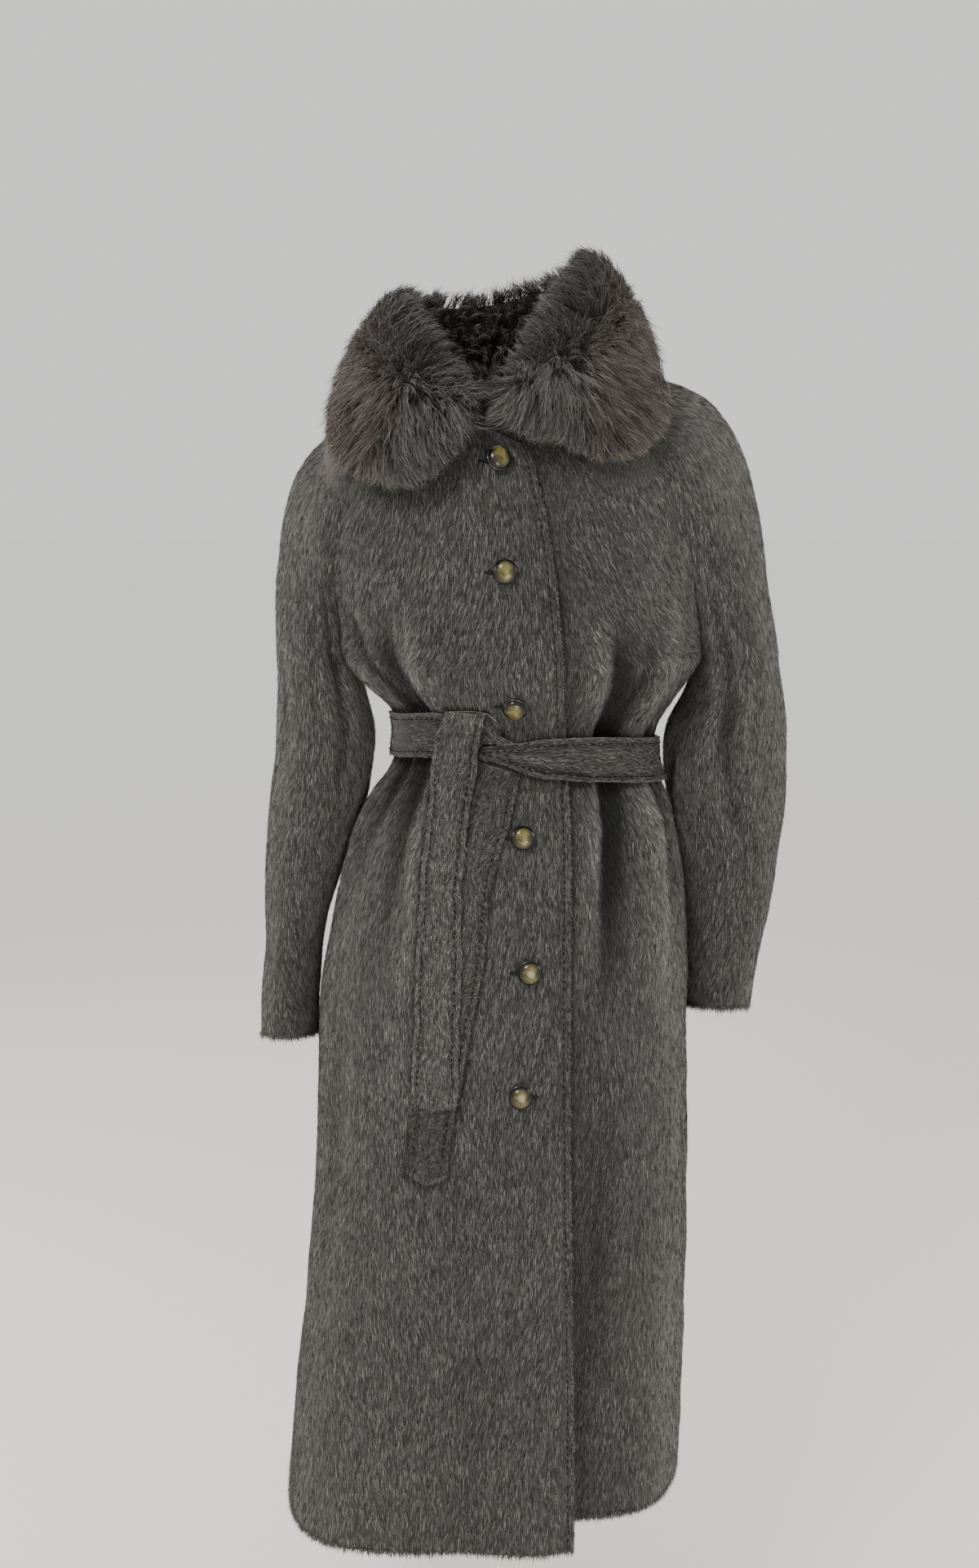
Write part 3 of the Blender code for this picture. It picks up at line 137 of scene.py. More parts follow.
# Creases that the belt pulls into the cloth. angle is where each meets the belt, seen from above (-90 is
# the front), up_turn and down_turn are how far it drifts on its way, up and down are its lengths, above and
# below its depths. skew makes the side towards larger angles steeper, or the other side where it is
# negative.
# Columns: angle up_turn down_turn up down above below width skew.
FOLDS = (
    (-149.0, 8.0, 13.0, 0.190, 0.240, 0.027, 0.015, 0.014, 0.30),
    (-164.0, 6.0, 6.0, 0.080, 0.190, 0.010, 0.016, 0.013, 0.00),
    (-48.0, -8.0, -5.0, 0.190, 0.300, 0.024, 0.020, 0.013, -0.30),
    (-19.0, 4.0, 3.0, 0.090, 0.220, 0.010, 0.014, 0.013, 0.00),
    (28.0, -4.0, -3.0, 0.120, 0.200, 0.013, 0.013, 0.014, 0.20),
    (59.0, -6.0, -5.0, 0.180, 0.300, 0.020, 0.020, 0.015, -0.20),
    (84.0, 3.0, 3.0, 0.110, 0.190, 0.012, 0.012, 0.013, 0.00),
    (112.0, 7.0, 6.0, 0.170, 0.280, 0.020, 0.020, 0.015, 0.20),
    (146.0, 5.0, 5.0, 0.120, 0.200, 0.013, 0.013, 0.014, -0.20),
)
FOLD_LEVEL = -0.392
WAIST_REACH = 0.075  # how far above and below the belt the cloth is lifted with it

# Each sleeve's raglan seams and ridge from the neck (row 0) to the underarm (row 8): the front seam, the
# ridge over the shoulder and down the outside of the arm, and the back seam.
# Columns: row fx fy fz tx ty tz bx by bz.
RAGLAN_LEFT = (
    (0, 0.082, -0.036, -0.024, 0.080, 0.012, -0.001, 0.068, 0.055, -0.014),
    (1, 0.112, -0.062, -0.042, 0.112, 0.012, -0.004, 0.098, 0.078, -0.036),
    (2, 0.141, -0.082, -0.068, 0.150, 0.010, -0.009, 0.130, 0.098, -0.064),
    (3, 0.165, -0.093, -0.102, 0.188, 0.008, -0.017, 0.157, 0.109, -0.100),
    (4, 0.183, -0.093, -0.145, 0.226, 0.006, -0.038, 0.178, 0.110, -0.145),
    (5, 0.197, -0.080, -0.190, 0.256, 0.005, -0.080, 0.194, 0.097, -0.190),
    (6, 0.208, -0.055, -0.232, 0.274, 0.005, -0.142, 0.206, 0.070, -0.232),
    (7, 0.216, -0.025, -0.266, 0.286, 0.006, -0.212, 0.215, 0.038, -0.266),
    (8, 0.220, 0.006, -0.290, 0.297, 0.008, -0.282, 0.220, 0.006, -0.290),
)
RAGLAN_RIGHT = (
    (0, -0.078, -0.036, -0.028, -0.080, 0.012, -0.006, -0.066, 0.055, -0.018),
    (1, -0.100, -0.062, -0.052, -0.106, 0.012, -0.021, -0.090, 0.078, -0.045),
    (2, -0.120, -0.082, -0.084, -0.134, 0.010, -0.042, -0.112, 0.098, -0.078),
    (3, -0.136, -0.092, -0.122, -0.160, 0.008, -0.064, -0.130, 0.109, -0.118),
    (4, -0.147, -0.090, -0.165, -0.183, 0.006, -0.086, -0.143, 0.109, -0.163),
    (5, -0.152, -0.076, -0.205, -0.200, 0.005, -0.114, -0.150, 0.094, -0.204),
    (6, -0.153, -0.052, -0.243, -0.212, 0.005, -0.160, -0.152, 0.068, -0.242),
    (7, -0.151, -0.024, -0.273, -0.218, 0.006, -0.218, -0.151, 0.036, -0.272),
    (8, -0.147, 0.006, -0.290, -0.219, 0.008, -0.285, -0.147, 0.006, -0.290),
)

# The sleeve tubes below the underarm: outer and inner edge seen from the front, middle from the side, radii
# to the front and back, and how much lower the back of each ring hangs than its front.
# Columns: z outer inner cy front back slope.
TUBE_LEFT = (
    (-0.286, 0.2970, 0.2200, 0.008, 0.088, 0.092, 0.00),
    (-0.330, 0.3070, 0.2090, 0.012, 0.083, 0.087, 0.00),
    (-0.370, 0.3140, 0.1900, 0.018, 0.078, 0.080, 0.02),
    (-0.412, 0.3170, 0.1880, 0.024, 0.074, 0.075, 0.05),
    (-0.455, 0.3170, 0.1945, 0.028, 0.070, 0.071, 0.08),
    (-0.500, 0.3145, 0.2055, 0.030, 0.067, 0.068, 0.12),
    (-0.550, 0.3080, 0.2140, 0.030, 0.064, 0.064, 0.17),
    (-0.600, 0.2990, 0.2180, 0.029, 0.061, 0.061, 0.22),
    (-0.650, 0.2910, 0.2190, 0.028, 0.059, 0.059, 0.25),
    (-0.684, 0.2860, 0.2190, 0.028, 0.058, 0.058, 0.26),
)
TUBE_RIGHT = (
    (-0.288, -0.2190, -0.1470, 0.008, 0.086, 0.090, 0.00),
    (-0.330, -0.2210, -0.1330, 0.012, 0.082, 0.085, 0.00),
    (-0.370, -0.2245, -0.1240, 0.018, 0.078, 0.080, 0.02),
    (-0.412, -0.2300, -0.1270, 0.024, 0.074, 0.075, 0.05),
    (-0.455, -0.2365, -0.1350, 0.028, 0.070, 0.071, 0.08),
    (-0.500, -0.2415, -0.1520, 0.030, 0.067, 0.068, 0.12),
    (-0.550, -0.2435, -0.1700, 0.030, 0.064, 0.064, 0.17),
    (-0.600, -0.2445, -0.1830, 0.029, 0.061, 0.061, 0.21),
    (-0.660, -0.2490, -0.1900, 0.028, 0.059, 0.059, 0.24),
    (-0.716, -0.2530, -0.1920, 0.028, 0.058, 0.058, 0.25),
)


# ---------------------------------------------------------------- surfaces of the body and sleeves


def smooth_rows(table, at):
    """The table's columns at each position in its first column, on a smooth curve through the rows."""
    rows = np.array(table, float)
    at = np.asarray(at, float)
    knots, values = rows[:, 0], rows[:, 1:]
    slopes = np.gradient(values, knots, axis=0)
    low = np.clip(np.searchsorted(knots, at, side="right") - 1, 0, len(knots) - 2)
    span = knots[low + 1] - knots[low]
    t = ((at - knots[low]) / span)[..., None]
    span = span[..., None]
    start = (1 + 2 * t) * (1 - t) ** 2 * values[low] + t * (1 - t) ** 2 * span * slopes[low]
    end = t * t * (3 - 2 * t) * values[low + 1] + t * t * (t - 1) * span * slopes[low + 1]
    return start + end


def smoothstep(value, low, high):
    t = np.clip((value - low) / (high - low), 0, 1)
    return t * t * (3 - 2 * t)


def turned_within(angle):
    """The same angle between -pi and pi."""
    return np.angle(np.exp(1j * angle))


def unit(vectors):
    length = np.linalg.norm(vectors, axis=-1, keepdims=True)
    return vectors / np.maximum(length, 1e-12)


def fold_depth(angle, z, radius):
    """How far the creases pull the cloth in at an angle (radians) and height."""
    depth = np.zeros(np.broadcast(angle, z).shape)
    rise = z - FOLD_LEVEL
    for fold_angle, up_turn, down_turn, up, down, above, below, width, skew in FOLDS:
        share = np.clip(np.where(rise > 0, rise / up, -rise / down), 0, 1)
        turn = np.where(rise > 0, up_turn, down_turn) * np.sqrt(share)
        off = turned_within(angle - np.radians(fold_angle + turn)) * radius
        spread = width * (1 - skew * np.sign(off)) * (1 + 0.9 * share)
        reach = np.abs(off) / spread
        deepest = below + (above - below) * smoothstep(rise, -0.025, 0.025)
        ridge = 0.36 * smoothstep(np.abs(rise), 0.030, 0.075)
        profile = np.exp(-(reach**2)) - ridge * np.exp(-(((reach - 2.1) / 0.8) ** 2))
        depth += deepest * (1 - share) ** 1.25 * profile
    return depth


def waist_lift(angle, z):
    """How far the narrow waist is lifted at an angle (radians): it follows the belt."""
    degrees = np.degrees(turned_within(angle))
    rise = smooth_rows(BELT_EDGES, degrees)[..., 0]
    return rise * np.exp(-(((z - FOLD_LEVEL) / WAIST_REACH) ** 2))


def body_radius(angle, z, folds=True):
    """Distance from the section's middle to the outer surface."""
    z = z - waist_lift(angle, z)
    section = np.moveaxis(smooth_rows(BODY, z), -1, 0)
    _, _, left, right, front, back, corner_l, corner_r, corner_b, yaw = section
    local = angle - np.radians(yaw)
    across, along = np.cos(local), np.sin(local)
    side = np.where(across < 0, left, right)
    reach = np.where(along < 0, front, back)
    corner = np.where(along < 0, np.where(across < 0, corner_l, corner_r), corner_b)
    radius = ((np.abs(across) / side) ** corner + (np.abs(along) / reach) ** corner) ** (-1 / corner)
    if folds:
        radius = radius - fold_depth(angle, z, radius) - soft_depth(angle, z, radius)
    return radius


def body_middle(z):
    return smooth_rows(BODY, z)[..., 0:2]


def body_point(angle, z, out=0.0, folds=True):
    radius = body_radius(angle, z, folds) + out
    middle = body_middle(z)
    x = middle[..., 0] + radius * np.cos(angle)
    y = middle[..., 1] + radius * np.sin(angle)
    return np.stack([x, y, np.broadcast_to(z, x.shape)], -1)


def front_angle(x, z, out=0.0):
    """The angle at which the front of the section, or a surface that far out from it, lies at x."""
    low = np.full(np.shape(x), -math.pi)
    high = np.zeros(np.shape(x))
    for _ in range(40):
        middle = (low + high) / 2
        beyond = body_point(middle, z, out, folds=False)[..., 0] > x
        high = np.where(beyond, middle, high)
        low = np.where(beyond, low, middle)
    return (low + high) / 2


def raglan_rows(table, count):
    """The raglan table's columns at evenly spaced rows, count of them from the neck to the underarm."""
    return smooth_rows(table, np.linspace(0, UNDERARM, count))


def seam_polar(points):
    """Angle and distance of seam points from the middle of their sections."""
    flat = points[..., 0:2] - body_middle(points[..., 2])
    return np.arctan2(flat[..., 1], flat[..., 0]), np.hypot(flat[..., 0], flat[..., 1])


def side_angle(side, z, at_underarm):
    """The side seam's angle below the underarm, easing from the underarm point to the seam's line."""
    base = 0.0 if side > 0 else math.pi
    line = base + side * np.radians(SIDE_SEAM_TURN)
    ease = smoothstep(z, -0.60, UNDERARM_LEVEL)
    return line + (at_underarm - line) * ease


def lap_edge_lift(off_edge, z, top_layer):
    """How far the two fronts stand apart: the top one lifts at its free edge, the lower one lies in below
    it."""
    flare = smoothstep(-z, 0.75, 1.20)
    if top_layer:
        return (LAP_TOP_LIFT + 0.010 * flare) * (1 - smoothstep(off_edge, 0.02, 0.10))
    inset = WALL + LAP_GAP + 0.016 * flare + 0.003 * smoothstep(z, -0.17, -0.10)
    return -inset * (1 - smoothstep(off_edge, 0.004, 0.055 + 0.03 * flare))


def panel_rows(hem, top, seam, steps):
    """Row heights of a panel: steps of the way from the hem to the underarm, then as the raglan seam
    rises."""
    underarm_z = seam[-1, 2]
    steps = np.asarray(steps)
    lower = hem[:, None] + (underarm_z - hem)[:, None] * steps
    climb = (seam[::-1, 2] - underarm_z) / (seam[0, 2] - underarm_z)
    upper = underarm_z + (top[:, None] - underarm_z) * climb
    return np.concatenate([lower, upper[:, 1:]], axis=1).T


def front_panel(side, shares, steps, upper_count):
    """Outer surface of a front, rows from hem to neck and columns from the free edge to the side and raglan
    seam."""
    table = RAGLAN_LEFT if side > 0 else RAGLAN_RIGHT
    seam = raglan_rows(table, upper_count)[:, 0:3]
    top_layer = side < 0
    hem_z = FRONT_HEM if top_layer else LEFT_FRONT_HEM
    share = np.asarray(shares, float)
    hem = hem_z + (FRONT_HEM - hem_z) * smoothstep(share, 0.3, 1.0)
    corner = NECK_CORNER if top_layer else NECK_LINE[0][1]
    neck_line = [(0.0, corner), *NECK_LINE, (1.0, seam[0, 2])]
    top = smooth_rows(neck_line, share)[:, 0]
    z = panel_rows(hem, top, seam, steps)
    lower_count = len(steps)
    edge_rows = smooth_rows(EDGE, z[:, 0])
    edge_x = edge_rows[:, 0] if top_layer else edge_rows[:, 1] - UNDERLAP
    edge_angle = front_angle(edge_x, z[:, 0])
    seam_angle, seam_reach = seam_polar(seam[::-1])
    seam_angle = np.where(seam_angle > math.pi / 2, seam_angle - 2 * math.pi, seam_angle)
    underarm_angle = seam_angle[0] if side > 0 else seam_angle[0] + 2 * math.pi
    below = side_angle(side, z[:lower_count, -1], underarm_angle)
    if side < 0:
        below = below - 2 * math.pi
    end_angle = np.concatenate([below, seam_angle[1:]])
    miss_above = seam_reach - body_radius(seam_angle, seam[::-1, 2])
    fade = smoothstep(z[:lower_count, -1], -0.40, UNDERARM_LEVEL)
    miss = np.concatenate([miss_above[0] * fade, miss_above[1:]])
    angle = edge_angle[:, None] + (end_angle - edge_angle)[:, None] * share
    lap_angle = front_angle(smooth_rows(EDGE, z[:, 0])[:, 0], z[:, 0])
    off_edge = (angle - lap_angle[:, None]) * side * MEAN_RADIUS
    if top_layer:
        off_edge = (lap_angle[:, None] - angle) * MEAN_RADIUS
    out = lap_edge_lift(off_edge, z, top_layer) + miss[:, None] * share**2
    return body_point(angle, z, out)


def back_panel(shares, steps, upper_count):
    """Outer surface of the back, rows from hem to neck and columns from the left side seam to the right
    one."""
    seam_l = raglan_rows(RAGLAN_LEFT, upper_count)[:, 6:9]
    seam_r = raglan_rows(RAGLAN_RIGHT, upper_count)[:, 6:9]
    share = np.asarray(shares, float)
    lower_count = len(steps)
    angles, misses, heights = [], [], []
    for side, seam in ((1, seam_l), (-1, seam_r)):
        z = panel_rows(np.array([BACK_HEM]), np.array([seam[0, 2]]), seam, steps)[:, 0]
        seam_angle, seam_reach = seam_polar(seam[::-1])
        below = side_angle(side, z[:lower_count], seam_angle[0])
        miss_above = seam_reach - body_radius(seam_angle, seam[::-1, 2])
        fade = smoothstep(z[:lower_count], -0.40, UNDERARM_LEVEL)
        angles.append(np.concatenate([below, seam_angle[1:]]))
        misses.append(np.concatenate([miss_above[0] * fade, miss_above[1:]]))
        heights.append(z)
    z = heights[0][:, None] * (1 - share) + heights[1][:, None] * share
    rise = smoothstep(z, UNDERARM_LEVEL, -0.02)
    z = z + rise * NECK_ARCH * np.sin(math.pi * share)
    angle = angles[0][:, None] * (1 - share) + angles[1][:, None] * share
    out = misses[0][:, None] * (1 - share) ** 4 + misses[1][:, None] * share**4
    return body_point(angle, z, out)


def raglan_arcs(table, front_inward, back_inward, around):
    """The sleeve's rows from neck to underarm: arcs from the front seam over the ridge to the back seam.

    The inward arguments are the directions in which the neighbouring panels run away from each seam.
    """
    count = len(front_inward)
    rows = raglan_rows(table, count)
    front, ridge, back = rows[:, 0:3], rows[:, 3:6], rows[:, 6:9]
    closing = smoothstep(np.linspace(0, 1, count), 0.30, 1.0)[:, None]
    tube = (TUBE_LEFT if table is RAGLAN_LEFT else TUBE_RIGHT)[0]
    arcs = []
    plan = ((front, front_inward, -1.0, tube[4]), (back, back_inward, 1.0, tube[5]))
    for seam, inward, forward, reach in plan:
        away = unit(-inward)
        away[:, 1] = forward * np.maximum(forward * away[:, 1], -0.15)
        bulge = np.array([0.0, forward, 0.0])
        gap_y = np.abs(ridge[:, 1] - seam[:, 1])[:, None]
        gap_up = np.linalg.norm((ridge - seam)[:, [0, 2]], axis=1)[:, None]
        widest = tube[3] + forward * (reach + 0.010 * (1 - closing[:, 0]))
        level = (seam[:, 1] + ridge[:, 1]) / 2
        forwards = closing * np.abs(widest - level)[:, None] / 0.75
        handle_a = seam + away * 0.55 * gap_up * (1 - closing) + bulge * forwards
        handle_b = ridge + bulge * (0.55 * gap_y * (1 - closing) + forwards)
        t = np.linspace(0, 1, around)[None, :, None]
        curve = (
            (1 - t) ** 3 * seam[:, None]
            + 3 * (1 - t) ** 2 * t * handle_a[:, None]
            + 3 * (1 - t) * t**2 * handle_b[:, None]
            + t**3 * ridge[:, None]
        )
        arcs.append(curve)
    return np.concatenate([arcs[0], arcs[1][:, ::-1][:, 1:]], axis=1)


def sleeve_tube(table, around, count):
    """Closed rows below the underarm, from the inner seam round the front, the outside and the back to the
    seam."""
    z_rows = np.linspace(table[0][0], table[-1][0], count + 1)[1:]
    rows = smooth_rows(table[::-1], z_rows)
    outer, inner, cy, front, back, slope = np.moveaxis(rows[:, None, :], -1, 0)
    turn = np.linspace(0, 2 * math.pi, 2 * around - 1)[None, :]
    middle, half = (outer + inner) / 2, (outer - inner) / 2
    x = middle - half * np.cos(turn)
    y_reach = np.where(np.sin(turn) > 0, front, back)
    y = cy - y_reach * np.sin(turn)
    z = z_rows[:, None] - slope * (y - cy)
    return np.stack([x, y, z], -1)


def sleeve_grid(side, arcs, around, count):
    """All the sleeve's rows, with its creases pressed in towards the middle of each ring."""
    table = TUBE_LEFT if side > 0 else TUBE_RIGHT
    tube = sleeve_tube(table, around, count)
    grid = np.concatenate([arcs, tube], axis=0)
    turn = np.linspace(0, 360, grid.shape[1])
    middle = grid[:, :-1].mean(axis=1, keepdims=True)
    inwards = unit(middle - grid)
    z = grid[..., 2]
    press = np.zeros(z.shape)
    for arm, z_top, z_deep, z_end, turn_top, turn_deep, turn_end, depth, width in SLEEVE_FOLDS:
        if arm != side:
            continue
        line = np.interp(z, (z_end, z_deep, z_top), (turn_end, turn_deep, turn_top))
        strength = np.interp(z, (z_end, z_deep, z_top), (0.0, 1.0, 0.0))
        reach = np.radians(turn - line) * SLEEVE_RADIUS / width
        profile = np.exp(-(reach**2)) - 0.35 * np.exp(-(((np.abs(reach) - 2.0) / 0.8) ** 2))
        press += depth * strength * (2 - strength) * profile
    from_edge = np.minimum(np.arange(grid.shape[1]), np.arange(grid.shape[1])[::-1])
    open_rows = np.arange(len(grid))[:, None] < UPPER_ROWS
    fade = np.where(open_rows, np.clip(from_edge / (CREASE_FADE * SLEEVE_AROUND), 0, 1), 1.0)
    return grid + inwards * (press * fade)[..., None]


def grid_normals(grid, outward, closed_from=None):
    """Unit normals of a grid, pointing to the side that outward (a function of the points) gives."""
    along = np.gradient(grid, axis=0)
    across = np.gradient(grid, axis=1)
    if closed_from is not None:
        wrap = grid[closed_from:, 1] - grid[closed_from:, -2]
        across[closed_from:, 0] = wrap
        across[closed_from:, -1] = wrap
    normals = unit(np.cross(across, along))
    flip = np.sign(np.sum(normals * outward(grid), -1, keepdims=True).mean())
    return normals * flip


def parted(here, there):
    """The direction in which a seam's edge moves away from the other piece. Each is a pair of columns.

    It runs along the piece's own surface and away from the other's, so that it also parts two surfaces that run
    side by side from a crease.
    """
    own = unit(here[1] - here[0])
    other = unit(there[1] - there[0])
    return unit(own - other)

# The fur collar lies round the neck as one thick roll. Each row is a section: its inner top edge, its outer
# lower edge, how thick it is between them, and how full it is over and under the line that joins them.
# Columns: row in_x in_y in_z out_x out_y out_z over under.
COLLAR = (
    (0, -0.003, -0.122, -0.034, -0.005, -0.140, -0.052, 0.008, 0.006),
    (1, -0.016, -0.112, -0.008, -0.036, -0.146, -0.090, 0.021, 0.012),
    (2, -0.032, -0.098, 0.020, -0.072, -0.150, -0.116, 0.030, 0.016),
    (3, -0.050, -0.082, 0.044, -0.108, -0.146, -0.118, 0.034, 0.018),
    (4, -0.064, -0.060, 0.062, -0.136, -0.122, -0.106, 0.032, 0.020),
    (5, -0.074, -0.030, 0.074, -0.152, -0.078, -0.088, 0.028, 0.020),
    (6, -0.079, 0.006, 0.079, -0.154, -0.024, -0.066, 0.027, 0.020),
    (7, -0.076, 0.042, 0.081, -0.146, 0.040, -0.052, 0.030, 0.020),
    (8, -0.060, 0.074, 0.083, -0.116, 0.104, -0.056, 0.036, 0.020),
    (9, -0.032, 0.092, 0.084, -0.062, 0.146, -0.066, 0.036, 0.020),
    (10, 0.000, 0.098, 0.088, 0.000, 0.158, -0.068, 0.036, 0.020),
    (11, 0.034, 0.092, 0.097, 0.064, 0.146, -0.060, 0.036, 0.020),
    (12, 0.064, 0.074, 0.105, 0.120, 0.106, -0.044, 0.034, 0.020),
    (13, 0.082, 0.044, 0.113, 0.154, 0.044, -0.032, 0.031, 0.020),
    (14, 0.088, 0.008, 0.117, 0.166, -0.020, -0.040, 0.029, 0.020),
    (15, 0.083, -0.028, 0.110, 0.165, -0.070, -0.062, 0.031, 0.020),
    (16, 0.070, -0.060, 0.094, 0.150, -0.114, -0.084, 0.036, 0.020),
    (17, 0.050, -0.084, 0.064, 0.112, -0.138, -0.098, 0.034, 0.018),
    (18, 0.032, -0.100, 0.034, 0.072, -0.146, -0.080, 0.028, 0.016),
    (19, 0.018, -0.112, 0.000, 0.034, -0.146, -0.070, 0.020, 0.012),
    (20, 0.008, -0.122, -0.030, 0.007, -0.140, -0.054, 0.008, 0.006),
)
COLLAR_CLEAR = 0.0040

# The belt lies in a plane that falls towards the wearer's left.
BELT_LEVEL = -0.3935
BELT_SLOPE = -0.095
# How far the belt's middle rises from that plane, and how far its edges stand above and below its middle.
# The knot pulls it up and pinches it.
# Columns: angle rise above below.
BELT_EDGES = (
    (-180.0, 0.0080, 0.0218, 0.0218),
    (-158.0, 0.0145, 0.0225, 0.0225),
    (-143.0, 0.0215, 0.0225, 0.0225),
    (-133.0, 0.0250, 0.0222, 0.0222),
    (-124.0, 0.0225, 0.0200, 0.0190),
    (-114.0, 0.0130, 0.0070, 0.0060),
    (-107.0, 0.0145, 0.0080, 0.0078),
    (-102.0, 0.0147, 0.0098, 0.0100),
    (-92.0, 0.0137, 0.0148, 0.0148),
    (-85.0, 0.0141, 0.0178, 0.0180),
    (-70.0, 0.0155, 0.0207, 0.0208),
    (-48.0, 0.0165, 0.0222, 0.0222),
    (-27.0, 0.0140, 0.0225, 0.0225),
    (0.0, 0.0080, 0.0220, 0.0220),
    (45.0, 0.0000, 0.0218, 0.0218),
    (90.0, -0.0040, 0.0218, 0.0218),
    (135.0, 0.0000, 0.0218, 0.0218),
    (180.0, 0.0080, 0.0218, 0.0218),
)

# The belt rises a little where it passes over the front edge of the coat.
BELT_LAP_RISE = 0.0012
BELT_LAP_ANGLE = math.radians(-77.0)
BELT_LAP_SPREAD = 0.35

# The belt's hanging ends: the middle and half width of each across the front, and how far out each lies.
# Columns: z middle half out.
TAIL_FRONT = (
    (-0.728, -0.0555, 0.0229, 0.0062),
    (-0.654, -0.0532, 0.0224, 0.0062),
    (-0.580, -0.0505, 0.0222, 0.0062),
    (-0.538, -0.0492, 0.0211, 0.0062),
    (-0.498, -0.0476, 0.0199, 0.0062),
    (-0.460, -0.0435, 0.0203, 0.0064),
    (-0.430, -0.0400, 0.0207, 0.0074),
    (-0.405, -0.0368, 0.0214, 0.0090),
    (-0.390, -0.0352, 0.0219, 0.0108),
    (-0.375, -0.0338, 0.0219, 0.0130),
    (-0.360, -0.0311, 0.0215, 0.0137),
    (-0.347, -0.0277, 0.0200, 0.0137),
    (-0.334, -0.0230, 0.0200, 0.0134),
)
TAIL_BACK = (
    (-0.808, -0.0650, 0.0205, 0.0012),
    (-0.762, -0.0600, 0.0215, 0.0012),
    (-0.700, -0.0500, 0.0220, 0.0012),
    (-0.630, -0.0370, 0.0222, 0.0012),
    (-0.565, -0.0262, 0.0222, 0.0012),
    (-0.525, -0.0220, 0.0220, 0.0012),
    (-0.485, -0.0160, 0.0218, 0.0012),
    (-0.458, -0.0065, 0.0217, 0.0013),
    (-0.433, 0.0010, 0.0215, 0.0016),
    (-0.3905, 0.0088, 0.0213, 0.0022),
)
TAIL_THICK = 0.0042
FRONT_POINT = 0.006  # how much lower the middle of each end hangs than its corners
BACK_POINT = 0.010
POINT_SHIFT = 0.15
BACK_TOP_TILT = -0.0060  # the back end's top follows the belt's lower edge
KNOT_THICK = 0.0040
KNOT_BULGE = 0.0012

# The loop of the half knot, a short flap over the belt that comes out from behind the front end and narrows
# to nothing: its middle line, half width and how far out it lies.
# Columns: row x z half out.
KNOT = (
    (0, -0.0440, -0.3510, 0.0160, 0.0078),
    (1, -0.0300, -0.3505, 0.0175, 0.0078),
    (2, -0.0160, -0.3505, 0.0185, 0.0078),
    (3, -0.0040, -0.3535, 0.0175, 0.0078),
    (4, 0.0055, -0.3600, 0.0062, 0.0078),
    (5, 0.0140, -0.3640, 0.0034, 0.0078),
    (6, 0.0230, -0.3655, 0.0016, 0.0076),
)

# Each button: its place, how far it faces aside in degrees, and how far out it stands on its thread.
# Columns: x z turn stand.
BUTTONS = (
    (0.007, -0.0930, 24.0, 0.0028),
    (0.015, -0.1960, 0.0, 0.0),
    (0.025, -0.3270, 0.0, 0.0),
    (0.033, -0.4570, 0.0, 0.0),
    (0.040, -0.5900, 0.0, 0.0),
    (0.031, -0.7165, 0.0, 0.0),
)


def front_y(x, z, out=0.0, folds=True):
    """How far forward the front's surface lies at a place across it and a height."""
    return body_point(front_angle(x, z, out), z, out, folds)[..., 1]


def lying_y(x, z, out):
    """How far forward something lies that rests on the front, over its creases and not in them."""
    return np.minimum(front_y(x, z, out), front_y(x, z, out, folds=False))


def sloped_level(x):
    """The height of the belt's plane at a place across the front."""
    return BELT_LEVEL + BELT_SLOPE * (x - 0.038)


def seam_directions(own, other):
    """Where a wall's inner points lie at a seam: both pieces use the mean direction, and lean apart in a
    crease."""
    together = np.sum(own * other, -1, keepdims=True)
    mean = unit(own + other + np.array([0.0, 0.0, -1e-4]))
    lean = 0.9 * smoothstep(-together, -0.4, 0.5)
    miter = 1 / np.clip(np.sum(mean * own, -1, keepdims=True), 0.62, 1)
    return unit(mean + lean * own) * miter


def away_from_axis(grid):
    middle = body_middle(grid[..., 2])
    out = grid.copy()
    out[..., 0:2] -= middle
    out[..., 2] = 0
    return out


def away_from_centre(grid):
    return grid - grid[:, :-1].mean(axis=1, keepdims=True)


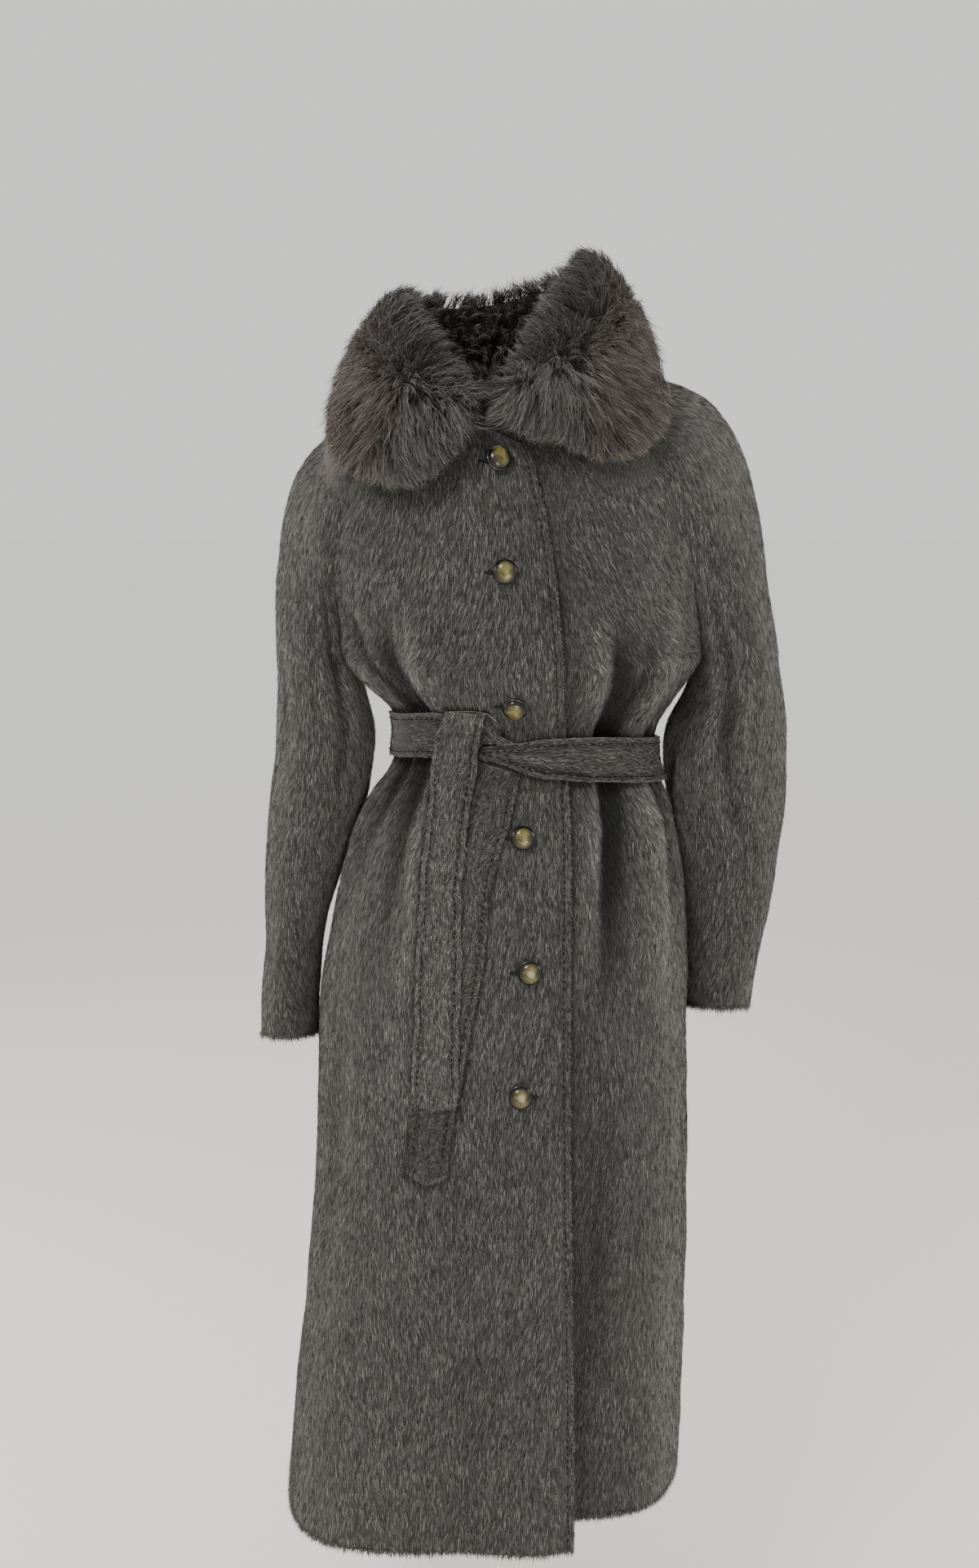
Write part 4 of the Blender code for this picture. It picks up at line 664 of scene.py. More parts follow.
def fit_seams(panels, sleeves, lower):
    """Gives each piece its points and wall directions, with half the seam gap taken from each side of a
    seam."""
    back = panels[2]
    normals = [grid_normals(p, away_from_axis) for p in panels]
    sleeve_normals = []
    for grid in sleeves:
        closed = UPPER_ROWS - 1
        sleeve_normals.append(grid_normals(grid, away_from_centre, closed_from=closed))
    used = [n.copy() for n in normals]
    used_sleeve = [n.copy() for n in sleeve_normals]
    top = UPPER_ROWS
    plan = ((0, 2, 1.0, 0, 0), (1, 2, -1.0, -1, 1))
    for front, rear, side, rear_column, sleeve in plan:
        above = slice(lower - 1, None)
        below = slice(0, lower)
        own, rear_own = normals[front], normals[rear]
        used[front][below, -1] = seam_directions(own[below, -1], rear_own[below, rear_column])
        used[rear][below, rear_column] = seam_directions(rear_own[below, rear_column], own[below, -1])
        arm = sleeve_normals[sleeve]
        arc_front, arc_back = arm[:top, 0][::-1], arm[:top, -1][::-1]
        used[front][above, -1] = seam_directions(own[above, -1], arc_front)
        used[rear][above, rear_column] = seam_directions(rear_own[above, rear_column], arc_back)
        used_sleeve[sleeve][:top, 0] = seam_directions(arc_front, own[above, -1])[::-1]
        used_sleeve[sleeve][:top, -1] = seam_directions(arc_back, rear_own[above, rear_column])[::-1]
        away = np.array([side * 0.9, 0.0, 0.0])
        used[front][lower - 1, -1] = used[rear][lower - 1, rear_column] = unit(DOWN + away)
        used_sleeve[sleeve][top - 1, 0] = used_sleeve[sleeve][top - 1, -1] = unit(DOWN - away)
    half = SEAM_GAP * 0.6  # what each side gives, a little over half
    placed = [p.copy() for p in panels]
    arms = [g.copy() for g in sleeves]
    for front, rear, side, rear_column, sleeve in plan:
        inner = 1 if rear_column == 0 else -2
        below = slice(0, lower - 1)
        above = slice(lower, None)
        arcs = slice(top - 2, None, -1)
        front_pair = (panels[front][:, -1], panels[front][:, -2])
        rear_pair = (back[:, rear_column], back[:, inner])
        arm = sleeves[sleeve]
        arc_front = (arm[arcs, 0], arm[arcs, 1])
        arc_back = (arm[arcs, -1], arm[arcs, -2])
        shift = parted([c[below] for c in front_pair], [c[below] for c in rear_pair]) * half
        placed[front][below, -1] += shift
        placed[rear][below, rear_column] -= shift
        shift = parted([c[above] for c in front_pair], arc_front) * half
        placed[front][above, -1] += shift
        arms[sleeve][arcs, 0] -= shift
        shift = parted([c[above] for c in rear_pair], arc_back) * half
        placed[rear][above, rear_column] += shift
        arms[sleeve][arcs, -1] -= shift
        corner = np.array([side * SEAM_GAP, half, 0.0])
        placed[front][lower - 1, -1] -= corner
        placed[rear][lower - 1, rear_column] -= corner * [1, -1, 1]
        arms[sleeve][top - 1, 0, 0] += side * SEAM_GAP
        arms[sleeve][top - 1, -1] = arms[sleeve][top - 1, 0]
    return placed, used, arms, used_sleeve


def surface_tree(grids):
    """A search tree over the outer surfaces of the grids."""
    points, faces = [], []
    for grid, normals in grids:
        start = len(points)
        rows, columns = grid.shape[:2]
        points.extend(tuple(p) for p in grid.reshape(-1, 3))
        u = grid[1, 0] - grid[0, 0]
        v = grid[0, 1] - grid[0, 0]
        turned = np.dot(np.cross(v, u), normals[0, 0]) < 0
        for r in range(rows - 1):
            for c in range(columns - 1):
                a = start + r * columns + c
                quad = (a, a + 1, a + columns + 1, a + columns)
                faces.append(quad[::-1] if turned else quad)
    return BVHTree.FromPolygons(points, faces)


def pushed_clear(points, tree, clear):
    """The points, each moved out until it is clear of the surface."""
    moved = []
    for point in points:
        place = Vector(point)
        for _ in range(4):
            hit, normal, _, _ = tree.find_nearest(place)
            height = (place - hit).dot(normal)
            if height >= clear:
                break
            place = place + normal * (clear - height)
        moved.append(np.array(place))
    return np.array(moved)


def collar_sections(around, stations):
    """The collar's sections, each a closed loop of points from its inner top edge over the outside and back
    under."""
    rows = smooth_rows(COLLAR, np.linspace(0, COLLAR[-1][0], stations))
    top, low = rows[:, 0:3], rows[:, 3:6]
    line = low - top
    travel = unit(np.gradient((top + low) / 2, axis=0))
    over = unit(np.cross(travel, line))
    over = over * np.sign(over[:, 2:3] * 0.5 + np.sum(over * unit(low * [1, 1, 0] + 1e-9), -1, keepdims=True))
    turn = np.linspace(0, 2 * math.pi, around, endpoint=False)
    across, height = -np.cos(turn), np.sin(turn)
    full = np.where(height[None] > 0, rows[:, 6:7], rows[:, 7:8])
    height = np.sign(height) * np.abs(height) ** 0.85
    flat = (top + low)[:, None] / 2 + line[:, None] * across[None, :, None] / 2
    return flat + over[:, None] * (full * height)[..., None]


# ---------------------------------------------------------------- cloth, meshes and hairs

FINE = 1.0
SHELL = 0.0018  # thickness of the cloth under its pile

# How many rows and columns the grids have. The upper rows reach from the underarm to the neck.
UPPER_ROWS = 36
LOWER_STEPS = np.interp(np.linspace(0, 1, 96), (0, 0.55, 1), (0, 0.68, 1))
# The columns of each front, closer together where its deepest crease runs.
RIGHT_SHARES = np.interp(np.linspace(0, 1, 66), (0, 0.42, 0.86, 1), (0, 0.58, 0.90, 1))
LEFT_SHARES = np.interp(np.linspace(0, 1, 62), (0, 0.40, 0.78, 1), (0, 0.42, 0.66, 1))
BACK_SHARES = np.linspace(0, 1, 88)
SLEEVE_AROUND = 36
SLEEVE_ROWS = 64

# Softer creases than the solids have: where each runs, its angle at its deepest place and how it drifts per
# metre. A negative depth is a raised roll.
# Columns: angle z_top z_deep z_end drift depth width.
SOFT_FOLDS = (
    (-154.5, -0.180, -0.310, -0.400, 35.0, 0.0078, 0.0095),
    (-42.5, -0.190, -0.310, -0.400, -35.0, 0.0060, 0.0095),
    (-166.0, -0.190, -0.290, -0.352, 20.0, -0.0045, 0.014),
    (-131.0, -0.200, -0.290, -0.350, 25.0, -0.0030, 0.012),
    (-118.0, -0.250, -0.310, -0.345, 30.0, 0.0018, 0.010),
    (-175.0, -0.395, -0.450, -0.620, 0.0, -0.0060, 0.020),
    (-108.0, -0.430, -0.560, -0.980, 6.0, 0.0030, 0.022),
    (-128.0, -0.440, -0.560, -0.900, 5.0, -0.0040, 0.024),
    (-153.0, -0.520, -0.760, -1.190, 3.0, 0.0050, 0.028),
    (-96.0, -0.420, -0.500, -0.760, -8.0, -0.0016, 0.020),
    (-62.0, -0.190, -0.290, -0.372, -6.0, -0.0040, 0.011),
    (-58.0, -0.420, -0.500, -0.700, -3.0, -0.0030, 0.014),
    (-36.0, -0.190, -0.300, -0.390, -25.0, -0.0040, 0.018),
    (-32.0, -0.405, -0.490, -0.780, -3.0, -0.0060, 0.022),
    (-55.0, -0.560, -0.900, -1.215, -2.0, 0.0050, 0.030),
    (-33.0, -0.700, -1.000, -1.215, 1.0, -0.0045, 0.030),
    (-12.0, -0.600, -0.850, -1.215, 2.0, 0.0045, 0.026),
    (12.0, -0.420, -0.560, -0.900, -4.0, 0.0045, 0.022),
    (42.0, -0.410, -0.600, -1.100, -3.0, -0.0045, 0.028),
    (74.0, -0.430, -0.700, -1.215, 2.0, 0.0050, 0.030),
    (97.0, -0.405, -0.540, -0.980, 3.0, -0.0045, 0.026),
    (128.0, -0.420, -0.660, -1.180, 3.0, 0.0045, 0.028),
    (168.0, -0.430, -0.580, -1.050, 4.0, -0.0045, 0.026),
    (66.0, -0.200, -0.310, -0.390, -30.0, 0.0035, 0.016),
    (100.0, -0.150, -0.290, -0.390, 20.0, -0.0035, 0.018),
    (124.0, -0.200, -0.320, -0.390, 25.0, 0.0040, 0.016),
)


def soft_depth(angle, z, radius):
    """How far the softer creases pull the cloth in."""
    depth = np.zeros(np.broadcast(angle, z).shape)
    for turn, top, deep, end, drift, deepest, width in SOFT_FOLDS:
        line = np.radians(turn + drift * (deep - z))
        off = turned_within(angle - line) * radius
        share = np.where(z > deep, (top - z) / (top - deep), (z - end) / (deep - end))
        strength = smoothstep(share, 0.0, 1.0)
        spread = width * (1.25 - 0.4 * strength)
        depth = depth + deepest * strength * np.exp(-((off / spread) ** 2))
    return depth


def waves(points, seed, size, count=7):
    """Smooth, uneven waves through space, from about -1 to 1. size is the length of a wave in metres."""
    rng = np.random.default_rng(seed)
    total = np.zeros(points.shape[:-1])
    for _ in range(count):
        direction = unit(rng.normal(size=3))
        turn = 2 * math.pi / (size * rng.uniform(0.7, 1.5))
        total += np.sin(points @ (direction * turn) + rng.uniform(0, 2 * math.pi))
    return total / math.sqrt(count) / 1.5


def joined_round(grid):
    """A grid with its first column again at its end."""
    return np.concatenate([grid, grid[:, :1]], axis=1)


def numbered(rows, columns, start=0):
    """The numbers of a grid's points."""
    return np.arange(rows * columns).reshape(rows, columns) + start


def quads_over(index, turned=False):
    """The faces over a grid of point numbers, with their corners in the other order when turned."""
    corners = [index[:-1, :-1], index[:-1, 1:], index[1:, 1:], index[1:, :-1]]
    if turned:
        corners = corners[:1] + corners[:0:-1]
    return np.stack(corners, -1).reshape(-1, 4)


def between(values, cells, shares):
    """A grid's values inside its cells, each at its own shares of the way along the rows and columns."""
    (r, c), (a, b) = cells, shares
    low = values[r, c] * (1 - b) + values[r, c + 1] * b
    high = values[r + 1, c] * (1 - b) + values[r + 1, c + 1] * b
    return low * (1 - a) + high * a


def cell_areas(grid):
    u, v = np.diff(grid, axis=0)[:, :-1], np.diff(grid, axis=1)[:-1]
    return np.linalg.norm(np.cross(u, v), axis=-1)


def belongs(piece):
    """Gives a piece the body that it moves with."""
    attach(piece, "root")


def mesh_from(name, points, groups, material, uv=None, colours=None, smooth=True):
    """A mesh from arrays: points, faces in groups of one length each, and a UV or a colour for each point."""
    mesh = bpy.data.meshes.new(name)
    groups = [np.asarray(faces, np.int32) for faces in groups]
    corners = np.concatenate([faces.ravel() for faces in groups])
    sides = np.concatenate([np.full(len(faces), faces.shape[1], np.int32) for faces in groups])
    starts = np.concatenate([[0], np.cumsum(sides)[:-1]]).astype(np.int32)
    mesh.vertices.add(len(points))
    mesh.vertices.foreach_set("co", np.asarray(points, np.float32).ravel())
    mesh.loops.add(len(corners))
    mesh.loops.foreach_set("vertex_index", corners)
    mesh.polygons.add(len(sides))
    mesh.polygons.foreach_set("loop_start", starts)
    mesh.polygons.foreach_set("loop_total", sides)
    mesh.polygons.foreach_set("use_smooth", np.full(len(sides), smooth))
    mesh.update(calc_edges=True)
    if uv is not None:
        layer = mesh.uv_layers.new(name="cloth")
        layer.data.foreach_set("uv", np.asarray(uv, np.float32)[corners].ravel())
    if colours is not None:
        layer = mesh.color_attributes.new("tint", "FLOAT_COLOR", "POINT")
        rgba = np.concatenate([colours, np.ones((len(colours), 1))], axis=1)
        layer.data.foreach_set("color", rgba.astype(np.float32).ravel())
    mesh.materials.append(material)
    made = bpy.data.objects.new(name, mesh)
    bpy.context.scene.collection.objects.link(made)
    return made


def hairs_from(name, points, groups, material, tint):
    """A mesh of flat-shaded hairs, with a colour for each of their points."""
    return mesh_from(name, points.reshape(-1, 3), groups, material, colours=tint.reshape(-1, 3), smooth=False)


def lengths_along(grid, axis):
    """The distance of each point from the grid's edge, measured along its rows or columns."""
    steps = np.linalg.norm(np.diff(grid, axis=axis), axis=-1)
    zero = np.zeros_like(np.take(steps, [0], axis=axis))
    return np.concatenate([zero, np.cumsum(steps, axis=axis)], axis=axis)


def two_faced(name, outer, inner, material, tone, closed=False, closed_from=None, turned_uv=False, sharp=60):
    """A band or shell of cloth: its outer points, its inner points and the rims between them.

    A closed band meets end to end. closed_from is the row from which a sleeve does, and turned_uv puts the
    cloth's length along the columns.
    """
    rows, columns = outer.shape[:2]
    front = numbered(rows, columns)
    if closed_from is not None:
        front[closed_from:, -1] = front[closed_from:, 0]
    if closed:
        front = joined_round(front)
    back = front + rows * columns
    quads = [quads_over(front), quads_over(back, turned=True)]
    last = rows if closed_from is None else closed_from + 1
    rims = [(front[0, ::-1], back[0, ::-1]), (front[-1], back[-1])]
    if not closed:
        rims += [(front[:last, 0], back[:last, 0]), (front[:last, -1][::-1], back[:last, -1][::-1])]
    for a, b in rims:
        quads.append(np.stack([a[:-1], a[1:], b[1:], b[:-1]], -1))
    lengths = [lengths_along(outer, axis) for axis in ((0, 1) if turned_uv else (1, 0))]
    uv = np.tile(np.stack(lengths, -1).reshape(-1, 2), (2, 1))
    points = np.concatenate([outer.reshape(-1, 3), inner.reshape(-1, 3)])
    # tone is painted shade and painted light, kept as each point's tint
    tint = np.repeat(np.tile(tone.reshape(-1, 1), (2, 1)), 3, axis=1)
    made = mesh_from(name, points, [np.concatenate(quads)], material, uv=uv, colours=tint)
    made.data.set_sharp_from_angle(angle=math.radians(sharp))
    return made


def averaged(values, axis, times):
    """Values of a grid averaged with their neighbours along one axis, over and over."""
    values = np.moveaxis(values, axis, 0)
    for _ in range(times):
        first, last = 2 * values[:1] - values[1:2], 2 * values[-1:] - values[-2:-1]
        padded = np.concatenate([first, values, last])
        values = (padded[:-2] + 2 * values + padded[2:]) / 4
    return np.moveaxis(values, 0, axis)


def painted_hollow_shade(grid, normals, times=(5, 12), full=0.0042):
    """Painted shade and painted light for each place of the cloth: darker in a crease's hollow, lighter on its
    rolls.
    """
    around = averaged(averaged(grid, 0, times[0]), 1, times[1])
    hollow = np.sum((around - grid) * normals, -1) / full
    return np.where(hollow > 0, 1 - 0.66 * np.tanh(hollow), 1 - 0.34 * np.tanh(hollow))


def painted_crease_shade(grid):
    """Painted shade for the deep creases of a body panel, where little light gets in, and painted light on its
    raised rolls.
    """
    flat = grid[..., 0:2] - body_middle(grid[..., 2])
    angle = np.arctan2(flat[..., 1], flat[..., 0])
    level = grid[..., 2] - waist_lift(angle, grid[..., 2])
    radius = np.linalg.norm(flat, axis=-1)
    depth = fold_depth(angle, level, radius) + soft_depth(angle, level, radius)
    return 1 - 0.90 * smoothstep(depth, 0.0005, 0.0100) + 0.35 * smoothstep(-depth, 0.0005, 0.0060)


def scattered(grid, normals, down, count, seed, tone):
    """Random places on a grid, even by area: each one's point, normal, downward direction and painted shade."""
    rng = np.random.default_rng(seed)
    area = cell_areas(grid).ravel()
    cells = np.divmod(rng.choice(len(area), size=count, p=area / area.sum()), grid.shape[1] - 1)
    shares = rng.random(count)[:, None], rng.random(count)[:, None]
    fields = (grid, normals, down, tone[..., None])
    point, normal, along, shade = [between(values, cells, shares) for values in fields]
    return point, unit(normal), unit(along), shade[:, 0], rng


# The pile's colours and how often each shows.
# Columns: red green blue share.
PILE = (
    (0.012, 0.012, 0.012, 0.24),
    (0.032, 0.033, 0.032, 0.24),
    (0.062, 0.064, 0.060, 0.24),
    (0.100, 0.102, 0.094, 0.20),
    (0.142, 0.142, 0.130, 0.09),
)


def pile_colours(points, rng):
    table = np.array(PILE)
    share = np.cumsum(table[:, 3]) / table[:, 3].sum()
    pick = rng.random(len(points)) + 0.05 * waves(points, 71, 0.16) + 0.05 * waves(points, 72, 0.012)
    which = np.clip(np.searchsorted(share, np.clip(pick, 0, 0.999)), 0, len(table) - 1)
    colour = table[which, 0:3] * rng.uniform(0.85, 1.2, (len(points), 1))
    warm = np.clip(0.5 + 0.5 * waves(points, 73, 0.30), 0, 1)[:, None]
    return colour * (1 + warm * np.array([0.05, 0.01, -0.03]))


def blades(name, root, normal, heading, length, width, lift, colours, material, rng):
    """Short hairs, each a single tapering face from its root to its tip."""
    count = len(root)
    side = unit(np.cross(normal, heading))
    roll = rng.normal(0, 0.45, (count, 1))
    flat = side * np.cos(roll) + normal * np.sin(roll)
    half = flat * width[:, None] / 2
    base = root + normal * 0.0001
    tip = root + heading * length[:, None] + normal * lift[:, None]
    points = np.stack([base - half, base + half, tip], 1)
    tint = np.stack([colours * 0.72, colours * 0.72, colours * 1.25], 1)
    faces = np.arange(count * 3).reshape(-1, 3)
    return hairs_from(name, points, [faces], material, tint)


def combed(points):
    """How far the pile leans aside from straight down, in radians.

    It is swept one way on one side of the front, the other way on the other, and uneven everywhere.
    """
    lean = 0.20 * np.tanh(points[:, 0] / 0.10) * smoothstep(-points[:, 2], 0.35, 0.9)
    return -lean + 0.14 * waves(points, 41, 0.24) + 0.12 * waves(points, 42, 0.05)


PILE_LENGTH = 0.0092
LOOSE_HAIRS = 0.05  # share of the pile's hairs that stand off the cloth


def pile_on(
    name, grid, normals, down, count, material, seed, keep=None, length=PILE_LENGTH, lean=combed, tone=None
):
    """The brushed pile of one piece: hairs that lie along the cloth, with a few loose ones that stand off
    it."""
    count = int(count * FINE)
    tone = painted_hollow_shade(grid, normals) if tone is None else tone
    root, normal, along, shade, rng = scattered(grid, normals, down, count, seed, tone)
    # keep drops the pile where its strength is zero; below one it darkens the hairs as a painted shadow
    if keep is not None:
        strength = keep(root)
        kept = strength > 0
        root, normal, along, shade = root[kept], normal[kept], along[kept], (shade * strength)[kept]
        count = len(root)
    sweep = lean(root) + rng.normal(0, 0.15, count)
    side = unit(np.cross(normal, along))
    heading = unit(along * np.cos(sweep)[:, None] + side * np.sin(sweep)[:, None])
    loose = rng.random(count) < LOOSE_HAIRS
    size = length * rng.uniform(0.6, 1.25, count)
    lift = np.where(loose, rng.uniform(0.0024, 0.0042, count), rng.uniform(0.0008, 0.0022, count))
    width = np.where(loose, 0.0004, rng.uniform(0.0006, 0.0012, count)) / math.sqrt(FINE)
    # the hairs' own colours, with painted shade and light from the creases and painted shadows put on them
    colours = pile_colours(root, rng) * shade[:, None]
    return blades(name, root, normal, heading, size, width, lift, colours, material, rng)


def strands(name, root, middle, tip, width, low, mid, high, material, rng):
    """Long hairs, each a tapering ribbon along a curve from its root by way of its middle to its tip."""
    count = len(root)
    stations = np.array([0.0, 0.36, 0.70, 1.0])
    t = stations[None, :, None]
    curve = (1 - t) ** 2 * root[:, None] + 2 * (1 - t) * t * middle[:, None] + t**2 * tip[:, None]
    travel = unit(tip - root)
    out = unit(middle - (root + tip) / 2)
    side = unit(np.cross(travel, out))
    roll = rng.normal(0, 0.7, (count, 1))
    flat = side * np.cos(roll) + out * np.sin(roll)
    taper = np.array([1.0, 0.95, 0.62])
    half = flat[:, None] * (width[:, None] * taper)[..., None] / 2
    pairs = np.stack([curve[:, :3] - half, curve[:, :3] + half], 2).reshape(count, 6, 3)
    points = np.concatenate([pairs, curve[:, 3:]], axis=1)
    start = np.arange(count)[:, None] * 7
    quads = np.concatenate([start + [0, 1, 3, 2], start + [2, 3, 5, 4]])
    tips = start + [4, 5, 6]
    share = stations[[0, 0, 1, 1, 2, 2, 3]][None, :, None]
    lower = low[:, None] + (mid - low)[:, None] * np.clip(share / 0.45, 0, 1)
    tint = lower + (high - mid)[:, None] * np.clip((share - 0.45) / 0.55, 0, 1)
    return hairs_from(name, points, [quads, tips], material, tint)


def grid_tree(grid):
    """A search tree over a grid of points that is closed round its columns."""
    faces = quads_over(joined_round(numbered(*grid.shape[:2])))
    return BVHTree.FromPolygons(grid.reshape(-1, 3).tolist(), faces.tolist())


# ---------------------------------------------------------------- materials


def new_material(name):
    """A material with its node tree and the shader node at its end."""
    made = bpy.data.materials.new(name)
    made.use_nodes = True
    return made, made.node_tree, made.node_tree.nodes["Principled BSDF"]


def fill(tree, node, inputs):
    """Sets inputs of a node to values, or links them to the outputs of other nodes."""
    for key, value in inputs.items():
        if isinstance(value, bpy.types.NodeSocket):
            tree.links.new(value, node.inputs[key])
        else:
            node.inputs[key].default_value = value


def added(tree, kind, output, inputs=None, **settings):
    """The output of a new node."""
    node = tree.nodes.new("ShaderNode" + kind)
    for key, value in settings.items():
        setattr(node, key, value)
    fill(tree, node, inputs or {})
    return node.outputs[output]


def mixed_colour(tree, factor, low, high):
    low, high = [(*colour, 1) if isinstance(colour, tuple) else colour for colour in (low, high)]
    return added(tree, "Mix", "Result", {"A": low, "B": high, "Factor": factor}, data_type="RGBA")


def noise_of(tree, vector, scale, detail=2.0, rough=0.5, distort=0.0):
    inputs = {"Vector": vector, "Scale": scale, "Detail": detail, "Roughness": rough, "Distortion": distort}
    return added(tree, "TexNoise", "Fac", inputs)


def ranged(tree, value, low, high, to_low=0.0, to_high=1.0):
    inputs = {"Value": value, "From Min": low, "From Max": high, "To Min": to_low, "To Max": to_high}
    return added(tree, "MapRange", "Result", inputs)


def object_place(tree):
    return added(tree, "TexCoord", "Object")


def point_tint(tree):
    return added(tree, "VertexColor", "Color", layer_name="tint")


STREAKS = (820.0, 150.0, 1.0)  # how many of the nap's streaks there are per metre, across and along
CLOTH_RELIEF = 0.0016
WARM_CLOTH = (0.052, 0.049, 0.043)
SHEEN_TINT = (0.80, 0.76, 0.72, 1.0)


def cloth_material(name, dark, mid, light):
    """The ground under the pile: streaks along the nap, slow changes of tone, relief from the streaks, and
    painted shade and light from each point's tint.
    """
    made, tree, shader = new_material(name)
    flat_place = added(tree, "UVMap", "UV", uv_map="cloth")
    streaks = added(tree, "Mapping", "Vector", {"Vector": flat_place, "Scale": STREAKS})
    fine = noise_of(tree, streaks, 1.0, 3.0, 0.6, 0.35)
    slow = noise_of(tree, object_place(tree), 9.0)
    tone = mixed_colour(tree, ranged(tree, fine, 0.34, 0.60), dark, mid)
    tone = mixed_colour(tree, ranged(tree, fine, 0.56, 0.74), tone, light)
    tone = mixed_colour(tree, ranged(tree, slow, 0.35, 0.7, 0.0, 0.22), tone, WARM_CLOTH)
    relief = {"Distance": CLOTH_RELIEF, "Strength": 0.8, "Height": fine}
    # each point's tint is painted shade in the creases and painted light on the rolls and edges
    toned = {0: tone, 1: point_tint(tree)}
    fill(tree, shader, {
        "Base Color": added(tree, "VectorMath", "Vector", toned, operation="MULTIPLY"),
        "Roughness": ranged(tree, fine, 0.3, 0.7, 0.98, 0.80),
        "Normal": added(tree, "Bump", "Normal", relief),
        "Sheen Weight": 0.5,
        "Sheen Roughness": 0.45,
        "Sheen Tint": SHEEN_TINT,
        "Specular IOR Level": 0.2,
    })
    return made


def hair_material(name, rough, sheen, specular=0.25):
    """Hairs: each one's colour from root to tip, which in the pile carries painted shade and light, with a
    finer change of tone along it.
    """
    made, tree, shader = new_material(name)
    fine = noise_of(tree, object_place(tree), 420.0, 1.0)
    change = {0: point_tint(tree), "Scale": ranged(tree, fine, 0.3, 0.7, 0.82, 1.18)}
    fill(tree, shader, {
        "Base Color": added(tree, "VectorMath", "Vector", change, operation="SCALE"),
        "Roughness": rough,
        "Sheen Weight": sheen,
        "Sheen Roughness": 0.4,
        "Specular IOR Level": specular,
    })
    return made


def plain_material(name, colour, rough, noise=60.0, spread=0.25, coat=0.0, specular=0.5):
    """One colour with small changes of tone."""
    made, tree, shader = new_material(name)
    change = noise_of(tree, object_place(tree), noise)
    darker = tuple(c * (1 - spread) for c in colour)
    lighter = tuple(min(1.0, c * (1 + spread)) for c in colour)
    fill(tree, shader, {
        "Base Color": mixed_colour(tree, ranged(tree, change, 0.3, 0.7), darker, lighter),
        "Roughness": rough,
        "Coat Weight": coat,
        "Specular IOR Level": specular,
    })
    return made


def button_material():
    """Polished olive and gold horn: a cloudy light band across a dark dome, darker still at the rim."""
    made, tree, shader = new_material("horn_olive")
    place = object_place(tree)
    x, y = [added(tree, "SeparateXYZ", axis, {"Vector": place}) for axis in "XY"]
    flat = added(tree, "CombineXYZ", "Vector", {"X": x, "Y": y})
    from_axis = added(tree, "VectorMath", "Value", {0: flat}, operation="LENGTH")
    aside = added(tree, "Math", "Value", {0: x}, operation="ABSOLUTE")
    cloudy = ranged(tree, noise_of(tree, place, 80.0, 2.0, 0.50, 0.7), 0.36, 0.66)
    tone = mixed_colour(tree, cloudy, (0.052, 0.044, 0.010), (0.215, 0.185, 0.066))
    tone = mixed_colour(tree, ranged(tree, aside, 0.0030, 0.0085, 0.0, 0.88), tone, (0.010, 0.008, 0.002))
    tone = mixed_colour(tree, ranged(tree, from_axis, 0.0068, 0.0104), tone, (0.006, 0.005, 0.003))
    fill(tree, shader, {"Base Color": tone, "Roughness": 0.16, "Specular IOR Level": 0.4})
    return made


COAT_TONES = ((0.010, 0.010, 0.010), (0.038, 0.039, 0.037), (0.092, 0.092, 0.086))
BELT_TONES = ((0.012, 0.012, 0.011), (0.042, 0.042, 0.039), (0.110, 0.108, 0.098))
GROUND = cloth_material("alpaca_ground", *COAT_TONES)
BELT_GROUND = cloth_material("belt_ground", *BELT_TONES)
PILE_HAIR = hair_material("alpaca_pile", 0.75, 0.28)
BELT_HAIR = hair_material("belt_pile", 0.75, 0.28)
FUR_GROUND = plain_material("fox_ground", (0.014, 0.013, 0.012), 0.95, 120.0, 0.5, specular=0.1)
FUR_HAIR = hair_material("fox_hair", 0.50, 0.25, specular=0.35)
THREAD = plain_material("thread", (0.0085, 0.008, 0.0075), 0.9, 300.0, 0.3, specular=0.05)
HORN = button_material()
RIM = plain_material("button_rim", (0.014, 0.011, 0.008), 0.25, 80.0, 0.3, coat=0.6)


# ---------------------------------------------------------------- the belt's shape

BELT_AROUND = 240
BELT_ACROSS = 13
# Long creases in the belt beside the knot: where each starts and ends round the waist, its height across
# the belt (-1 is the lower edge) at both ends, and its depth.
# Columns: start end from_height to_height depth.
CREASES = (
    (-138.0, -112.0, -0.30, -0.55, 0.0024),
    (-134.0, -112.0, 0.40, 0.25, 0.0014),
    (-101.0, -62.0, -0.42, -0.62, 0.0026),
    (-100.0, -74.0, 0.25, 0.45, 0.0022),
    (-84.0, -34.0, -0.72, -0.80, 0.0014),
    (20.0, 70.0, 0.20, 0.10, 0.0008),
    (110.0, 150.0, -0.25, -0.15, 0.0009),
)


CREASE_WIDTH = 0.14  # as a share of half the belt's width


def crease_depth(degrees, height):
    depth = np.zeros(np.broadcast(degrees, height).shape)
    for start, end, from_height, to_height, deepest in CREASES:
        share = np.clip((degrees - start) / (end - start), 0, 1)
        inside = smoothstep(degrees, start - 4, start + 5) * (1 - smoothstep(degrees, end - 12, end + 4))
        line = from_height + (to_height - from_height) * share
        depth = depth + deepest * inside * np.exp(-(((height - line) / CREASE_WIDTH) ** 2))
    return depth


